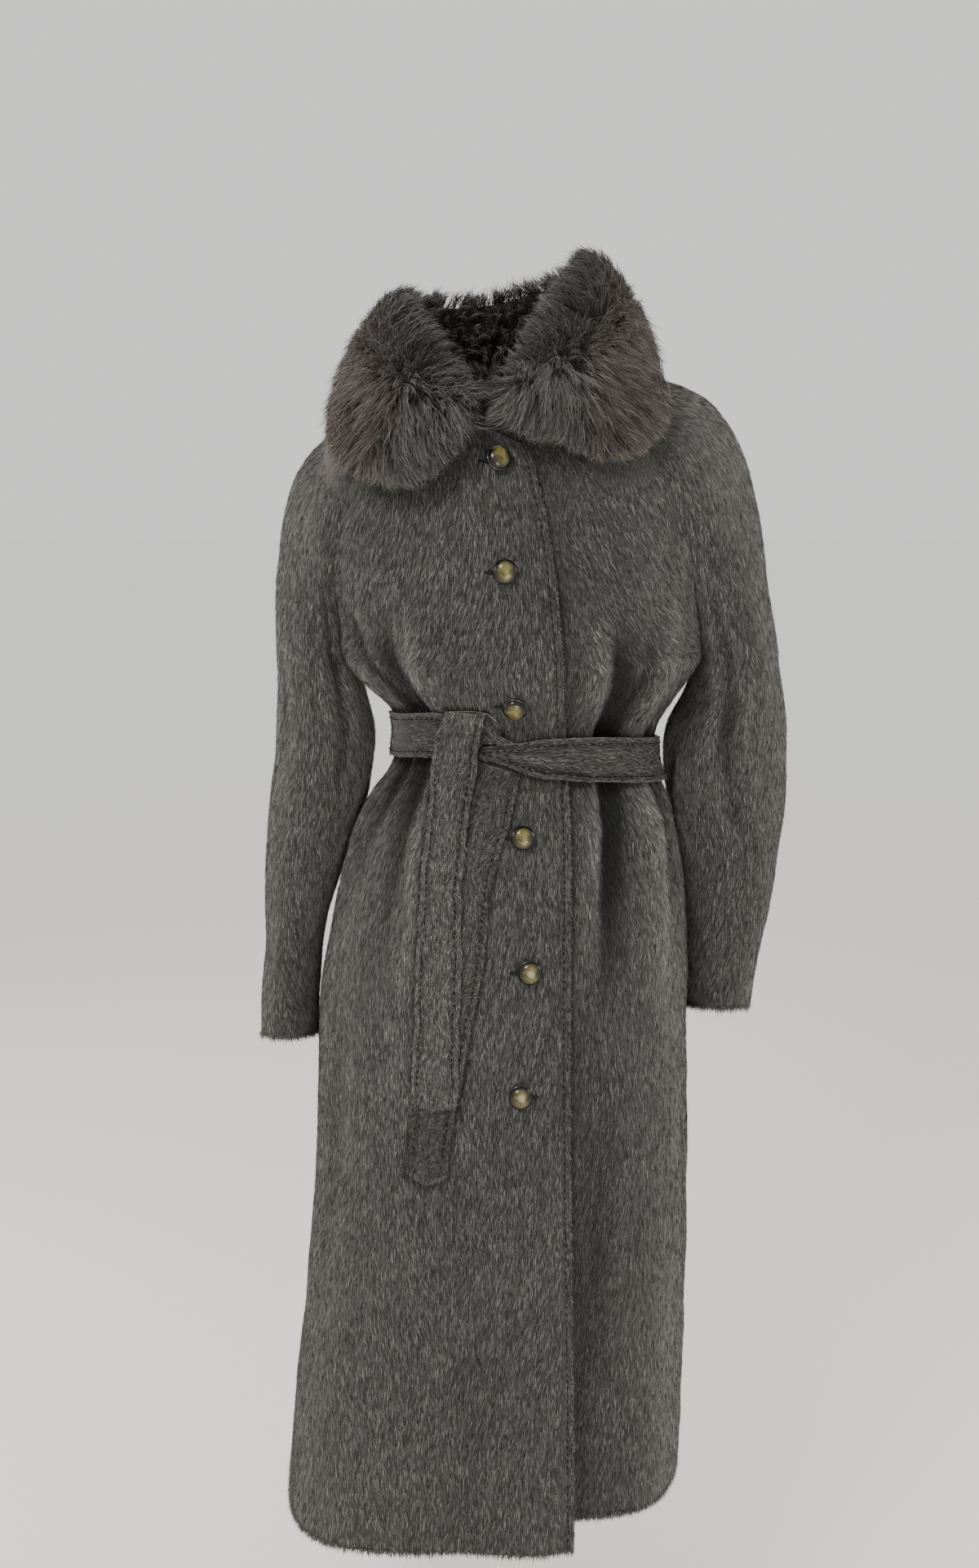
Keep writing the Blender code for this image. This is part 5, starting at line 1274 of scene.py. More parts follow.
def belt_grid(push, angles, heights):
    """The belt's surface, push out from the coat: rows go up across the belt and columns round the waist."""
    level = np.full(len(angles), BELT_LEVEL)
    for _ in range(6):
        level = sloped_level(body_point(angles, level, folds=False)[:, 0])
    edges = smooth_rows(BELT_EDGES, np.degrees(angles))
    level = level + edges[:, 0]
    z = level[None] + np.where(heights[:, None] > 0, edges[None, :, 1], edges[None, :, 2]) * heights[:, None]
    radius = body_radius(np.broadcast_to(angles[None], z.shape), z, folds=False)
    lap = BELT_LAP_RISE * np.exp(-(((angles - BELT_LAP_ANGLE) / BELT_LAP_SPREAD) ** 2))
    puff = 0.0004 - 0.0016 * np.abs(heights[:, None]) ** 2.5
    reach = radius + BELT_CLEAR + lap[None] + push + (puff if push else 0.0)
    if push:
        reach = reach - crease_depth(np.degrees(angles)[None], heights[:, None])
    middle = body_middle(z)
    x = middle[..., 0] + reach * np.cos(angles)[None]
    y = middle[..., 1] + reach * np.sin(angles)[None]
    return np.stack([x, y, z], -1)


# Small wrinkles across the top of the front end, where it folds over the belt.
# Columns: height lean depth.
TOP_WRINKLES = (
    (-0.3400, 0.10, 0.0010),
    (-0.3465, -0.16, 0.0012),
    (-0.3560, 0.08, 0.0010),
    (-0.3690, -0.10, 0.0008),
)


def tail_grid(table, rows, columns, point_drop, top_tilt, fold_over):
    """The outer face of a hanging end: rows go up from its point and columns across it."""
    z_rows = np.linspace(table[0][0], table[-1][0], rows)
    values = smooth_rows(table, z_rows)
    across = np.linspace(-1, 1, columns)
    uneven = 0.0005 * np.sin(z_rows * 61.0)[:, None] + 0.0004 * np.sin(z_rows * 143.0 + 2.0)[:, None]
    x = values[:, 0:1] + (values[:, 1:2] + uneven) * across
    from_end = (z_rows - z_rows[0])[:, None]
    drop = np.exp(-from_end / 0.020)
    z = z_rows[:, None] + drop * point_drop * np.abs(across - POINT_SHIFT) ** 1.3
    z = z + top_tilt * across * np.exp(-(z_rows[-1] - z_rows)[:, None] / 0.022)
    back = lying_y(x, z, values[:, 2:3])
    edge = 0.0012 * np.abs(across) ** 5
    ripple = 0.0010 * np.sin(z_rows * 31.0 + 1.0)[:, None] * smoothstep(from_end, 0.0, 0.05)
    face = edge + ripple * 0.5 - 0.0005
    if fold_over:
        below_top = (z_rows[-1] - z_rows)[:, None]
        face = face + 0.0034 * np.exp(-((below_top / 0.0045) ** 2))
        for height, lean, deep in TOP_WRINKLES:
            off = (z - height - lean * (x - values[-1, 0])) / 0.0020
            face = face + deep * np.exp(-(off**2)) * (1 - 0.5 * across**2)
    return np.stack([x, back + face, z], -1)


angles = np.linspace(-math.pi, math.pi, BELT_AROUND, endpoint=False)
heights = np.linspace(-1, 1, BELT_ACROSS)
belt_outer = belt_grid(BELT_THICK, angles, heights)
belt_inner = belt_grid(0.0, angles, heights)
belt_shut = joined_round(belt_outer)
tail_back = tail_grid(TAIL_BACK, 80, BELT_ACROSS, BACK_POINT, BACK_TOP_TILT, False)
tail_front = tail_grid(TAIL_FRONT, 100, BELT_ACROSS, FRONT_POINT, 0.0, True)

KNOT_ROWS = 44
KNOT_ACROSS = 15
KNOT_CREASE = 0.0016
knot_rows = smooth_rows(KNOT, np.linspace(0, KNOT[-1][0], KNOT_ROWS))
knot_middle = knot_rows[:, 0:2]
knot_travel = unit(np.gradient(knot_middle, axis=0))
knot_side = np.stack([-knot_travel[:, 1], knot_travel[:, 0]], -1)
knot_across = np.linspace(-1, 1, KNOT_ACROSS)
knot_flat = knot_middle[:, None] + knot_side[:, None] * knot_across[None, :, None] * knot_rows[:, 2:3, None]
along_knot = np.linspace(0, 1, KNOT_ROWS)[:, None]
off_crease = (knot_across + 0.35 - 0.5 * along_knot) / 0.15
knot_crease = KNOT_CREASE * np.exp(-(off_crease**2)) * smoothstep(along_knot, 0.25, 0.7)
knot_bulge = KNOT_BULGE * (1 - knot_across**2) - knot_crease
knot_y = lying_y(knot_flat[..., 0], knot_flat[..., 1], knot_rows[:, 3:4]) - knot_bulge
knot_outer = np.stack([knot_flat[..., 0], knot_y, knot_flat[..., 1]], -1)


def outline_of(grid):
    """The border of a grid in the front view, as a closed loop of x and z."""
    loop = np.concatenate([grid[0], grid[1:, -1], grid[-1, -2::-1], grid[-2:0:-1, 0]])
    return loop[:, [0, 2]]


def outside(points, loop):
    """How far each point lies outside a loop in the front view, negative inside it."""
    flat = points[:, [0, 2]]
    ahead = np.roll(loop, -1, axis=0)
    step = ahead - loop
    away = flat[:, None] - loop[None]
    share = np.clip(np.sum(away * step, -1) / np.maximum(np.sum(step * step, -1), 1e-12), 0, 1)
    near = np.linalg.norm(away - share[..., None] * step, axis=-1).min(axis=1)
    level = flat[:, 1:2]
    spans = (loop[:, 1] > level) != (ahead[:, 1] > level)
    rise = np.where(np.abs(step[:, 1]) < 1e-12, 1e-12, step[:, 1])
    crossed = spans & (flat[:, 0:1] < loop[:, 0] + step[:, 0] * (level - loop[:, 1]) / rise)
    return np.where(crossed.sum(axis=1) % 2 == 1, -near, near)


FRONT_LOOP, BACK_LOOP, KNOT_LOOP = outline_of(tail_front), outline_of(tail_back), outline_of(knot_outer)
TAIL_LOOPS = (FRONT_LOOP, BACK_LOOP)


# ---------------------------------------------------------------- the coat's cloth

# How many hairs the pile of each piece has.
COUNTS = {
    "front_left": 62000,
    "front_right": 98000,
    "back": 98000,
    "sleeve_left": 56000,
    "sleeve_right": 56000,
}


def undulated(grid, normals):
    """The cloth's small unevenness."""
    return grid + normals * (0.0009 * waves(grid, 21, 0.11) + 0.0004 * waves(grid, 22, 0.045))[..., None]


lower = len(LOWER_STEPS)
shares = ((1, LEFT_SHARES), (-1, RIGHT_SHARES))
fronts = [front_panel(side, share, LOWER_STEPS, UPPER_ROWS) for side, share in shares]
rear = back_panel(BACK_SHARES, LOWER_STEPS, UPPER_ROWS)
sleeves = []
for side, front, column, table in ((1, fronts[0], 0, RAGLAN_LEFT), (-1, fronts[1], -1, RAGLAN_RIGHT)):
    inward_front = (front[lower - 1 :, -2] - front[lower - 1 :, -1])[::-1]
    beside = rear[lower - 1 :, 1 if column == 0 else -2]
    inward_back = (beside - rear[lower - 1 :, column])[::-1]
    arcs = raglan_arcs(table, inward_front, inward_back, SLEEVE_AROUND)
    sleeves.append(sleeve_grid(side, arcs, SLEEVE_AROUND, SLEEVE_ROWS))
placed, used, arms, used_arms = fit_seams([fronts[0], fronts[1], rear], sleeves, lower)
cloth_tree = surface_tree(list(zip(placed, used)) + list(zip(arms, used_arms)))

sections = collar_sections(around=28, stations=60)
collar_outer = pushed_clear(sections.reshape(-1, 3), cloth_tree, COLLAR_CLEAR).reshape(sections.shape)
collar_tree = grid_tree(collar_outer)


COLLAR_LOWEST = -0.125
UNDER_COLLAR = 0.028  # cloth that has the collar less than this far above it shows no pile


def under_collar(points):
    """Whether each point is well under the fur, where no pile shows."""
    hidden = np.zeros(len(points), bool)
    for i in np.flatnonzero(points[:, 2] > COLLAR_LOWEST):
        start = Vector(points[i]) + Vector((0, 0, 0.001))
        hidden[i] = collar_tree.ray_cast(start, Vector((0, 0, 1)), UNDER_COLLAR)[0] is not None
    return hidden


def beyond_belt(points):
    """How far each point of the coat is above or below the belt, negative under it."""
    flat = points[:, 0:2] - body_middle(points[:, 2])
    angle = np.arctan2(flat[:, 1], flat[:, 0])
    order = np.append(angles, math.pi)
    low = np.interp(angle, order, np.append(belt_outer[0, :, 2], belt_outer[0, 0, 2]))
    high = np.interp(angle, order, np.append(belt_outer[-1, :, 2], belt_outer[-1, 0, 2]))
    return np.maximum(low - points[:, 2], points[:, 2] - high)


def beside(distance, inset, reach, deep):
    """The strength of pile near something that lies on it: none under it, darkened beside it as a painted
    shadow, then full.
    """
    strength = 1 - deep * np.exp(-((np.maximum(distance, 0) / reach) ** 2))
    return np.where(distance < -inset, 0.0, strength)


# Pile strength near the loops in the front view: none under them, a painted shadow just beside them.
def covered_and_shadowed(points, loops, inset=0.003, reach=0.0036, deep=0.85):
    strength = np.ones(len(points))
    for loop in loops:
        low, high = loop.min(axis=0) - 0.012, loop.max(axis=0) + 0.012
        flat = points[:, [0, 2]]
        near = (points[:, 1] < 0) & ((flat > low) & (flat < high)).all(axis=1)
        strength[near] *= beside(outside(points[near], loop), inset, reach, deep)
    return strength


def edge_x(z):
    return smooth_rows(EDGE, z)[..., 0]


STITCH_IN = 0.0072  # how far the row of stitches lies from the edge
STITCH_CLEAR = 0.0018  # half the width of the strip beside them that has no pile


# No pile under the collar, the belt or the hanging ends; a painted shadow along the belt's edges and beside the
# ends.
def keep_and_shadow_on_body(points):
    strength = beside(beyond_belt(points), 0.010, 0.0050, 0.80) * covered_and_shadowed(points, TAIL_LOOPS)
    return np.where(under_collar(points), 0.0, strength)


def keep_on_sleeve(points):
    return np.where(under_collar(points), 0.0, 1.0)


# No pile on a strip along the stitches, and painted shadows as on the body.
def keep_and_shadow_on_right_front(points):
    front = points[:, 1] < 0
    off = np.abs(edge_x(points[:, 2]) - STITCH_IN - points[:, 0])
    return np.where(front & (off < STITCH_CLEAR), 0.0, keep_and_shadow_on_body(points))


def keep_and_shadow_on_left_front(points):
    hidden = (points[:, 1] < 0) & (points[:, 0] < edge_x(points[:, 2]) - 0.012)
    # painted shadow of the upper front's free edge on the lower front, darkest next to the edge
    lap = np.maximum(points[:, 0] - edge_x(points[:, 2]), 0)
    shadow = 0.60 * np.exp(-((lap / 0.005) ** 2)) + 0.22 * np.exp(-((lap / 0.030) ** 2))
    strength = np.where(points[:, 1] < 0, 1 - shadow, 1.0)
    return np.where(hidden, 0.0, keep_and_shadow_on_body(points) * strength)


pieces = {}
plan = (
    ("front_left", placed[0], used[0], None, -1, keep_and_shadow_on_left_front),
    ("front_right", placed[1], used[1], None, -1, keep_and_shadow_on_right_front),
    ("back", placed[2], used[2], None, -1, keep_and_shadow_on_body),
    ("sleeve_left", arms[0], used_arms[0], UPPER_ROWS - 1, 1, keep_on_sleeve),
    ("sleeve_right", arms[1], used_arms[1], UPPER_ROWS - 1, 1, keep_on_sleeve),
)
for index, (name, grid, normals, closed, heading, keep) in enumerate(plan):
    grid = undulated(grid, normals)
    # painted shade in the creases and painted light on the rolls, as the tint of the cloth and of its pile
    tone = painted_hollow_shade(grid, normals) * (1.0 if closed else painted_crease_shade(grid))
    made = two_faced("cloth_" + name, grid, grid - normals * SHELL, GROUND, tone, closed_from=closed)
    down = np.gradient(grid, axis=0) * heading
    pile = pile_on("pile_" + name, grid, normals, down, COUNTS[name], PILE_HAIR, 100 + index, keep, tone=tone)
    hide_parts(name)
    pieces[name] = (made, pile)
    for piece in (made, pile):
        belongs(piece)


HEM_FUZZ, CUFF_FUZZ, EDGE_FUZZ = 3800, 2200, 4200


def fuzz(name, line, out, down, count, seed, material=None, length=0.009):
    """A fringe of loose hairs along a cut edge."""
    rng = np.random.default_rng(seed)
    count = int(count * FINE)
    at = rng.random(count) * (len(line) - 1)
    low = np.minimum(at.astype(int), len(line) - 2)
    t = (at - low)[:, None]
    root = line[low] * (1 - t) + line[low + 1] * t
    normal = unit(out[low] * (1 - t) + out[low + 1] * t)
    along = unit(down[low] * (1 - t) + down[low + 1] * t)
    heading = unit(along + normal * rng.normal(0.15, 0.35, (count, 1)) + rng.normal(0, 0.30, (count, 3)))
    size = length * rng.uniform(0.35, 1.0, count)
    width = rng.uniform(0.0005, 0.0010, count) / math.sqrt(FINE)
    made = blades(name, root - along * 0.003, normal, heading, size, width, size * 0, pile_colours(root, rng),
                  material or PILE_HAIR, rng)
    belongs(made)
    return made


for index, (name, grid, normals, closed, heading, keep) in enumerate(plan):
    row, hairs = (-1, CUFF_FUZZ) if closed else (0, HEM_FUZZ)
    line, out = grid[row], normals[row]
    fuzz("fuzz_hem_" + name, line, out, np.broadcast_to(DOWN, line.shape), hairs, 200 + index)
edge_line = placed[1][:, 0]
sideways = unit(edge_line - placed[1][:, 2])
fuzz("fuzz_front_edge", edge_line, used[1][:, 0], sideways * 0.6 + DOWN * 0.8, EDGE_FUZZ, 230, length=0.006)


# ---------------------------------------------------------------- the fur collar

# Where the fur parts: the place round each section (degrees, 90 is the middle of the outside) at stations
# along the collar. The fur lies away from this line, and at its two ends it radiates like a swirl.
# Columns: row turn.
PARTING = ((3.0, 66.0), (5.0, 58.0), (7.0, 50.0), (10.0, 46.0), (13.0, 48.0), (15.5, 54.0), (17.6, 60.0))
FUR_GAP = 0.020  # how deep under the collar's surface its ground lies
FUR_COUNT = 74000
HAIRS_PER_TUFT = 9
HIDDEN_FUR = 0.50  # how densely fur grows where the collar faces down or inwards, as a share

centres = collar_outer.mean(axis=1, keepdims=True)
reach = np.linalg.norm(collar_outer - centres, axis=-1, keepdims=True)
inset = np.minimum(FUR_GAP, 0.55 * reach)
core = centres + (collar_outer - centres) * (1 - inset / reach)
core[:3] = core[:3] * 0.6 + centres[3] * 0.4
core[-3:] = core[-3:] * 0.6 + centres[-4] * 0.4


def closed_loft(name, loops, material):
    """A solid through closed loops of points, with its two ends filled."""
    index = numbered(*loops.shape[:2])
    ends = np.array([index[0][::-1], index[-1]])
    return mesh_from(name, loops.reshape(-1, 3), [quads_over(joined_round(index)), ends], material)


core_piece = closed_loft("collar_ground", core, FUR_GROUND)


def section_place(row, turn):
    """The point of the collar's outer surface at a station of its table and a turn round the section."""
    r = row / COLLAR[-1][0] * (len(collar_outer) - 1)
    c = (turn / 360.0) * collar_outer.shape[1]
    r0, c0 = int(min(r, len(collar_outer) - 2)), int(c)
    fr, fc = r - r0, c - c0
    around = collar_outer.shape[1]
    low = collar_outer[r0, c0 % around] * (1 - fc) + collar_outer[r0, (c0 + 1) % around] * fc
    high = collar_outer[r0 + 1, c0 % around] * (1 - fc) + collar_outer[r0 + 1, (c0 + 1) % around] * fc
    return low * (1 - fr) + high * fr


parting_rows = np.linspace(PARTING[0][0], PARTING[-1][0], 48)
parting_turns = smooth_rows(PARTING, parting_rows)[:, 0]
parting = np.array([section_place(row, turn) for row, turn in zip(parting_rows, parting_turns)])


def fur_strands(count, seed):
    """Roots, middles and tips of the fur, in tufts, with how near the parting each lies and its tuft's own
    tone."""
    rng = np.random.default_rng(seed)
    per = HAIRS_PER_TUFT
    tufts = count // per
    around = core.shape[1]
    rings = [joined_round(values) for values in (core, collar_outer, np.broadcast_to(centres, core.shape))]
    turn_mid = (np.arange(around) + 0.5) / around * 360
    seen = np.where((turn_mid > 15) & (turn_mid < 200), 1.0, HIDDEN_FUR)
    weight = (cell_areas(rings[1]) * seen[None]).ravel()
    cells = np.divmod(rng.choice(len(weight), size=tufts, p=weight / weight.sum()), around)
    shares = rng.random(tufts)[:, None], rng.random(tufts)[:, None]
    base, top, centre = [between(values, cells, shares) for values in rings]
    normal = unit(top - centre)
    gap = np.linalg.norm(top - base, axis=-1)
    away = top[:, None] - parting[None]
    near = np.linalg.norm(away, axis=-1)
    pick = near.argmin(axis=1)
    flow = away[np.arange(tufts), pick]
    distance = near[np.arange(tufts), pick]
    flow = flow - normal * np.sum(flow * normal, -1, keepdims=True)
    flow = unit(flow) + 0.45 * np.stack([waves(top, 51 + k, 0.035) for k in range(3)], -1)
    flow[:, 2] -= 0.25 * smoothstep(distance, 0.03, 0.09)
    flow = unit(flow - normal * np.sum(flow * normal, -1, keepdims=True))
    lie = smoothstep(distance, 0.004, 0.040)
    along = (0.009 + 0.017 * lie) * rng.uniform(0.7, 1.3, tufts)
    tips = top + flow * along[:, None] + normal * ((1 - lie) * -0.004)[:, None]
    for i in range(tufts):
        hit, _, _, _ = collar_tree.find_nearest(Vector(tips[i]))
        tips[i] = np.array(hit)
    tips = tips + normal * (rng.uniform(-0.0035, 0.0030, tufts) + 0.0015 * waves(top, 61, 0.03))[:, None]
    mids = base + normal * (gap * 0.95)[:, None] + flow * (along * 0.32)[:, None]

    def spread(values, size):
        return np.repeat(values, per, axis=0) + rng.normal(0, size, (tufts * per, 3))

    root, middle, tip = spread(base, 0.0032), spread(mids, 0.0026), spread(tips, 0.0032)
    stretch = rng.uniform(0.72, 1.12, (tufts * per, 1))
    tip = root + (tip - root) * stretch
    tone = np.repeat(rng.normal(0, 1, tufts), per)
    return root, middle, tip, np.repeat(lie, per), tone, rng


DARK_TIPS = 0.22  # share of the fur's hairs with a dark tip


def fur_tints(root, tip, lie, tone, rng):
    """Colours at root, middle and tip: dark under-fur, grey lengths, lighter or dark tips, browner at the
    outside."""
    count = len(root)
    brown = smoothstep(np.abs(tip[:, 0] - 0.005), 0.070, 0.140)[:, None]
    brown = brown + smoothstep(tip[:, 1:2], -0.02, 0.06) * 0.7
    brown = np.clip(brown + 0.25 * waves(tip, 81, 0.06)[:, None], 0, 1)
    grey_low, brown_low = np.array([0.008, 0.008, 0.0085]), np.array([0.013, 0.010, 0.008])
    grey_mid, brown_mid = np.array([0.056, 0.053, 0.050]), np.array([0.062, 0.047, 0.038])
    grey_high, brown_high = np.array([0.122, 0.116, 0.106]), np.array([0.112, 0.088, 0.072])
    own = np.exp(0.22 * tone + rng.normal(0, 0.28, count))[:, None]
    dim = (0.50 + 0.50 * lie)[:, None]
    low = grey_low + (brown_low - grey_low) * brown
    mid = (grey_mid + (brown_mid - grey_mid) * brown) * own * dim
    high = (grey_high + (brown_high - grey_high) * brown) * own * dim
    dark_tip = rng.random(count) < DARK_TIPS
    high[dark_tip] *= 0.35
    return np.broadcast_to(low, mid.shape), mid, high


# The gap between the two lobes, as the collar's ends frame it from the front: heights and the two sides.
# Columns: z left right.
NECK_GAP = (
    (-0.056, 0.000, 0.001),
    (-0.024, -0.012, 0.006),
    (0.016, -0.037, 0.018),
    (0.060, -0.078, 0.042),
    (0.100, -0.095, 0.092),
)


def how_far_in_gap(points):
    """How far each point reaches into the gap between the lobes, negative outside it."""
    z, left, right = np.array(NECK_GAP).T
    low, high = np.interp(points[:, 2], z, left), np.interp(points[:, 2], z, right)
    reach = np.minimum(points[:, 0] - low, high - points[:, 0])
    return np.where((points[:, 1] < -0.03) & (points[:, 2] > z[0]), reach, -1.0)


root, middle, tip, lie, tone, rng = fur_strands(int(FUR_COUNT * FINE), 301)
across = ((root[:, 0] < 0) != (tip[:, 0] < 0)) & (np.abs(tip[:, 0]) > 0.006)
front = (root[:, 1] < -0.05) & (np.abs(root[:, 0]) > 0.004)
bad = (how_far_in_gap(middle) > 0.005) | (how_far_in_gap(tip) > 0.012) | (across & front)
root, middle, tip, lie, tone = [values[~bad] for values in (root, middle, tip, lie, tone)]
low, mid, high = fur_tints(root, tip, lie, tone, rng)
width = rng.uniform(0.00045, 0.00080, len(root)) / math.sqrt(FINE)
fur_pieces = []
for name, chosen in (
    ("fur_right", (tip[:, 0] <= 0) & (tip[:, 1] < 0.02)),
    ("fur_left", (tip[:, 0] > 0) & (tip[:, 1] < 0.02)),
    ("fur_back", tip[:, 1] >= 0.02),
):
    parts = [values[chosen] for values in (root, middle, tip, width, low, mid, high)]
    fur_pieces.append(strands(name, *parts, FUR_HAIR, rng))
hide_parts("fur_collar")
for piece in [core_piece] + fur_pieces:
    belongs(piece)


# ---------------------------------------------------------------- the belt


BAND = {"turned_uv": True, "sharp": 55}  # what the belt's pieces have in common


def edge_highlight_tone(points_across, rows, deep=0.45):
    """A band with a painted highlight along its turned edges, and darker just inside them."""
    across = np.linspace(-1, 1, points_across)
    line = 1 + 0.22 * np.exp(-(((np.abs(across) - 1.0) / 0.10) ** 2))
    line = line - deep * np.exp(-(((np.abs(across) - 0.72) / 0.09) ** 2))
    return np.broadcast_to(line, (rows, points_across))


def band_painted_shade(grid, normals):
    """Painted shade and painted light in the belt's own small creases."""
    return painted_hollow_shade(grid, normals, (3, 3), 0.0009)


belt_normals = grid_normals(belt_shut, away_from_axis)
# the belt's painted shade in its creases and painted highlight along its edges
belt_painted_shade = band_painted_shade(belt_shut, belt_normals) * edge_highlight_tone(BELT_ACROSS, belt_shut.shape[1]).T
belt_piece = two_faced(
    "cloth_belt_band", belt_outer, belt_inner, BELT_GROUND, belt_painted_shade[:, :-1], closed=True, **BAND
)


def belt_lean(points):
    return 0.35 * waves(points, 43, 0.05) + 0.2 * waves(points, 44, 0.02)


# No pile under the front end and the knot, and a painted shadow on the belt beside them.
def keep_and_shadow_on_belt(points):
    return covered_and_shadowed(points, (FRONT_LOOP, KNOT_LOOP), 0.002, 0.0030, 0.85)


belt_pile = pile_on(
    "pile_belt", belt_shut, belt_normals, np.gradient(belt_shut, axis=1), 11000, BELT_HAIR, 310,
    keep=keep_and_shadow_on_belt, length=0.0065, lean=belt_lean, tone=belt_painted_shade,
)


def band_on_front(name, outer, thick, heading, count, seed, length, keep, gain=1.0, curl=0.25):
    """A flat band in front of the coat: the grid is its outer face, towards the viewer."""
    inner = outer + np.array([0.0, thick, 0.0])
    normals = grid_normals(outer, lambda grid: np.broadcast_to([0.0, -1.0, 0.0], grid.shape))
    # painted shade in the band's creases and painted highlight along its edges, scaled by gain
    tone = gain * band_painted_shade(outer, normals) * edge_highlight_tone(outer.shape[1], outer.shape[0])
    made = two_faced("cloth_" + name, outer, inner, BELT_GROUND, tone, **BAND)
    pile = pile_on(
        "pile_" + name, outer, normals, heading(outer), count, BELT_HAIR, seed, length=length, keep=keep,
        lean=lambda p: curl * waves(p, 45, 0.05) + curl * waves(p, 46, 0.02), tone=tone,
    )
    return made, pile, normals


def along_rows(grid):
    return np.gradient(grid, axis=0)


def upwards(grid):
    return -along_rows(grid)


TAIL_BACK_END = (-0.737, -0.722)  # the heights between which it darkens, by the front end's point


def keep_and_shadow_on_tail_back(points):
    """The free lower end of the back tail is darker; beside the front end it has a painted shadow, and under it
    no pile.
    """
    from_end = smoothstep(points[:, 2], *TAIL_BACK_END)
    return covered_and_shadowed(points, (FRONT_LOOP,), 0.002, 0.0030, 0.6) * (0.62 + 0.38 * from_end)


# No pile under the front end, and a painted shadow on the knot beside it.
def keep_and_shadow_on_knot(points):
    return covered_and_shadowed(points, (FRONT_LOOP,), 0.002, 0.0026, 0.7)


back_piece, back_pile, back_out = band_on_front(
    "tail_back", tail_back, TAIL_THICK, upwards, 4600, 320, 0.0062, keep_and_shadow_on_tail_back, 1.0, 0.45
)
front_piece, front_pile, front_out = band_on_front(
    "tail_front", tail_front, TAIL_THICK, upwards, 5600, 321, 0.0068, None, 1.30
)
knot_piece, knot_pile, knot_out = band_on_front(
    "knot", knot_outer, KNOT_THICK, along_rows, 1500, 322, 0.0055, keep_and_shadow_on_knot, 1.05
)

for made, node in (
    (belt_piece, "belt_band"),
    (back_piece, "belt_tail_back"),
    (front_piece, "belt_tail_front"),
    (knot_piece, "belt_knot"),
):
    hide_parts(node)
for piece in (belt_piece, belt_pile, back_piece, back_pile, front_piece, front_pile, knot_piece, knot_pile):
    belongs(piece)


# ---------------------------------------------------------------- stitches


STITCH_HEIGHT = 0.0023  # from the cloth, in its pile
STITCH_SIDES = 6
# Places along a stitch, and how thick it is there.
STITCH_RINGS = ((-1.0, 0.35), (-0.6, 1.0), (0.6, 1.0), (1.0, 0.35))


def stitch_row(line, out, pitch, long, wide, seed):
    """Points and faces of a row of short stitches sunk a little in the pile, each a slim six-sided bar."""
    rng = np.random.default_rng(seed)
    run = np.concatenate([[0], np.cumsum(np.linalg.norm(np.diff(line, axis=0), axis=1))])
    at = np.arange(pitch, run[-1] - pitch, pitch)
    at = at + rng.normal(0, pitch * 0.06, len(at))
    centre = np.stack([np.interp(at, run, line[:, k]) for k in range(3)], -1)
    ahead = np.stack([np.interp(at + 0.002, run, line[:, k]) for k in range(3)], -1)
    normal = unit(np.stack([np.interp(at, run, out[:, k]) for k in range(3)], -1))
    travel = unit(ahead - centre)
    side = unit(np.cross(normal, travel))
    centre = centre + normal * STITCH_HEIGHT
    lengths = long * rng.uniform(0.8, 1.15, len(at))[:, None] / 2
    rings = []
    for share, size in STITCH_RINGS:
        middle = centre + travel * lengths * share - normal * (0.0006 * abs(share) ** 4)
        for turn in np.arange(STITCH_SIDES) * (2 * math.pi / STITCH_SIDES):
            rings.append(middle + (side * math.cos(turn) + normal * math.sin(turn) * 0.6) * wide / 2 * size)
    points = np.stack(rings, 1)
    quads = quads_over(joined_round(numbered(len(STITCH_RINGS), STITCH_SIDES)))
    start = np.arange(len(at))[:, None, None] * len(rings)
    return points.reshape(-1, 3), (quads[None] + start).reshape(-1, 4)


def stitches(name, rows, slot, pitch=0.0072, long=0.0044, wide=0.0010):
    points, faces, count = [], [], 0
    for seed, (line, out) in enumerate(rows):
        p, f = stitch_row(line, out, pitch, long, wide, 400 + seed)
        points.append(p)
        faces.append(f + count)
        count += len(p)
    made = mesh_from(name, np.concatenate(points), [np.concatenate(faces)], THREAD)
    belongs(made)
    return made


def column_inside(grid, normals, distance, from_end=False):
    """A line on the grid at a distance from its first or last column."""
    if from_end:
        grid, normals = grid[:, ::-1], normals[:, ::-1]
    run = lengths_along(grid, 1)

    def line_over(values):
        rows = zip(run, values)
        return np.array([[np.interp(distance, at, row[:, k]) for k in range(3)] for at, row in rows])

    return line_over(grid), line_over(normals)


TAIL_SIDE_FUZZ, TAIL_END_FUZZ = 900, 500
BELT_STITCH = (0.0068, 0.0042, 0.0010)  # pitch, length and width
TAIL_STITCH_IN, BELT_STITCH_IN = 0.0062, 0.0058
right_front = undulated(placed[1], used[1])
edge_stitches = column_inside(right_front, used[1], STITCH_IN)
stitches("stitches_front", [edge_stitches], "cloth")
tail_rows = []
for grid, out in ((tail_back, back_out), (tail_front, front_out)):
    for from_end in (False, True):
        line, normal = column_inside(grid, out, TAIL_STITCH_IN, from_end)
        tail_rows.append((line[4:-4], normal[4:-4]))
stitches("stitches_tails", tail_rows, "belt", *BELT_STITCH)
turned = np.swapaxes(belt_shut, 0, 1)
turned_out = np.swapaxes(belt_normals, 0, 1)
belt_rows = [column_inside(turned, turned_out, BELT_STITCH_IN, from_end) for from_end in (False, True)]
stitches("stitches_belt", belt_rows, "belt", *BELT_STITCH)
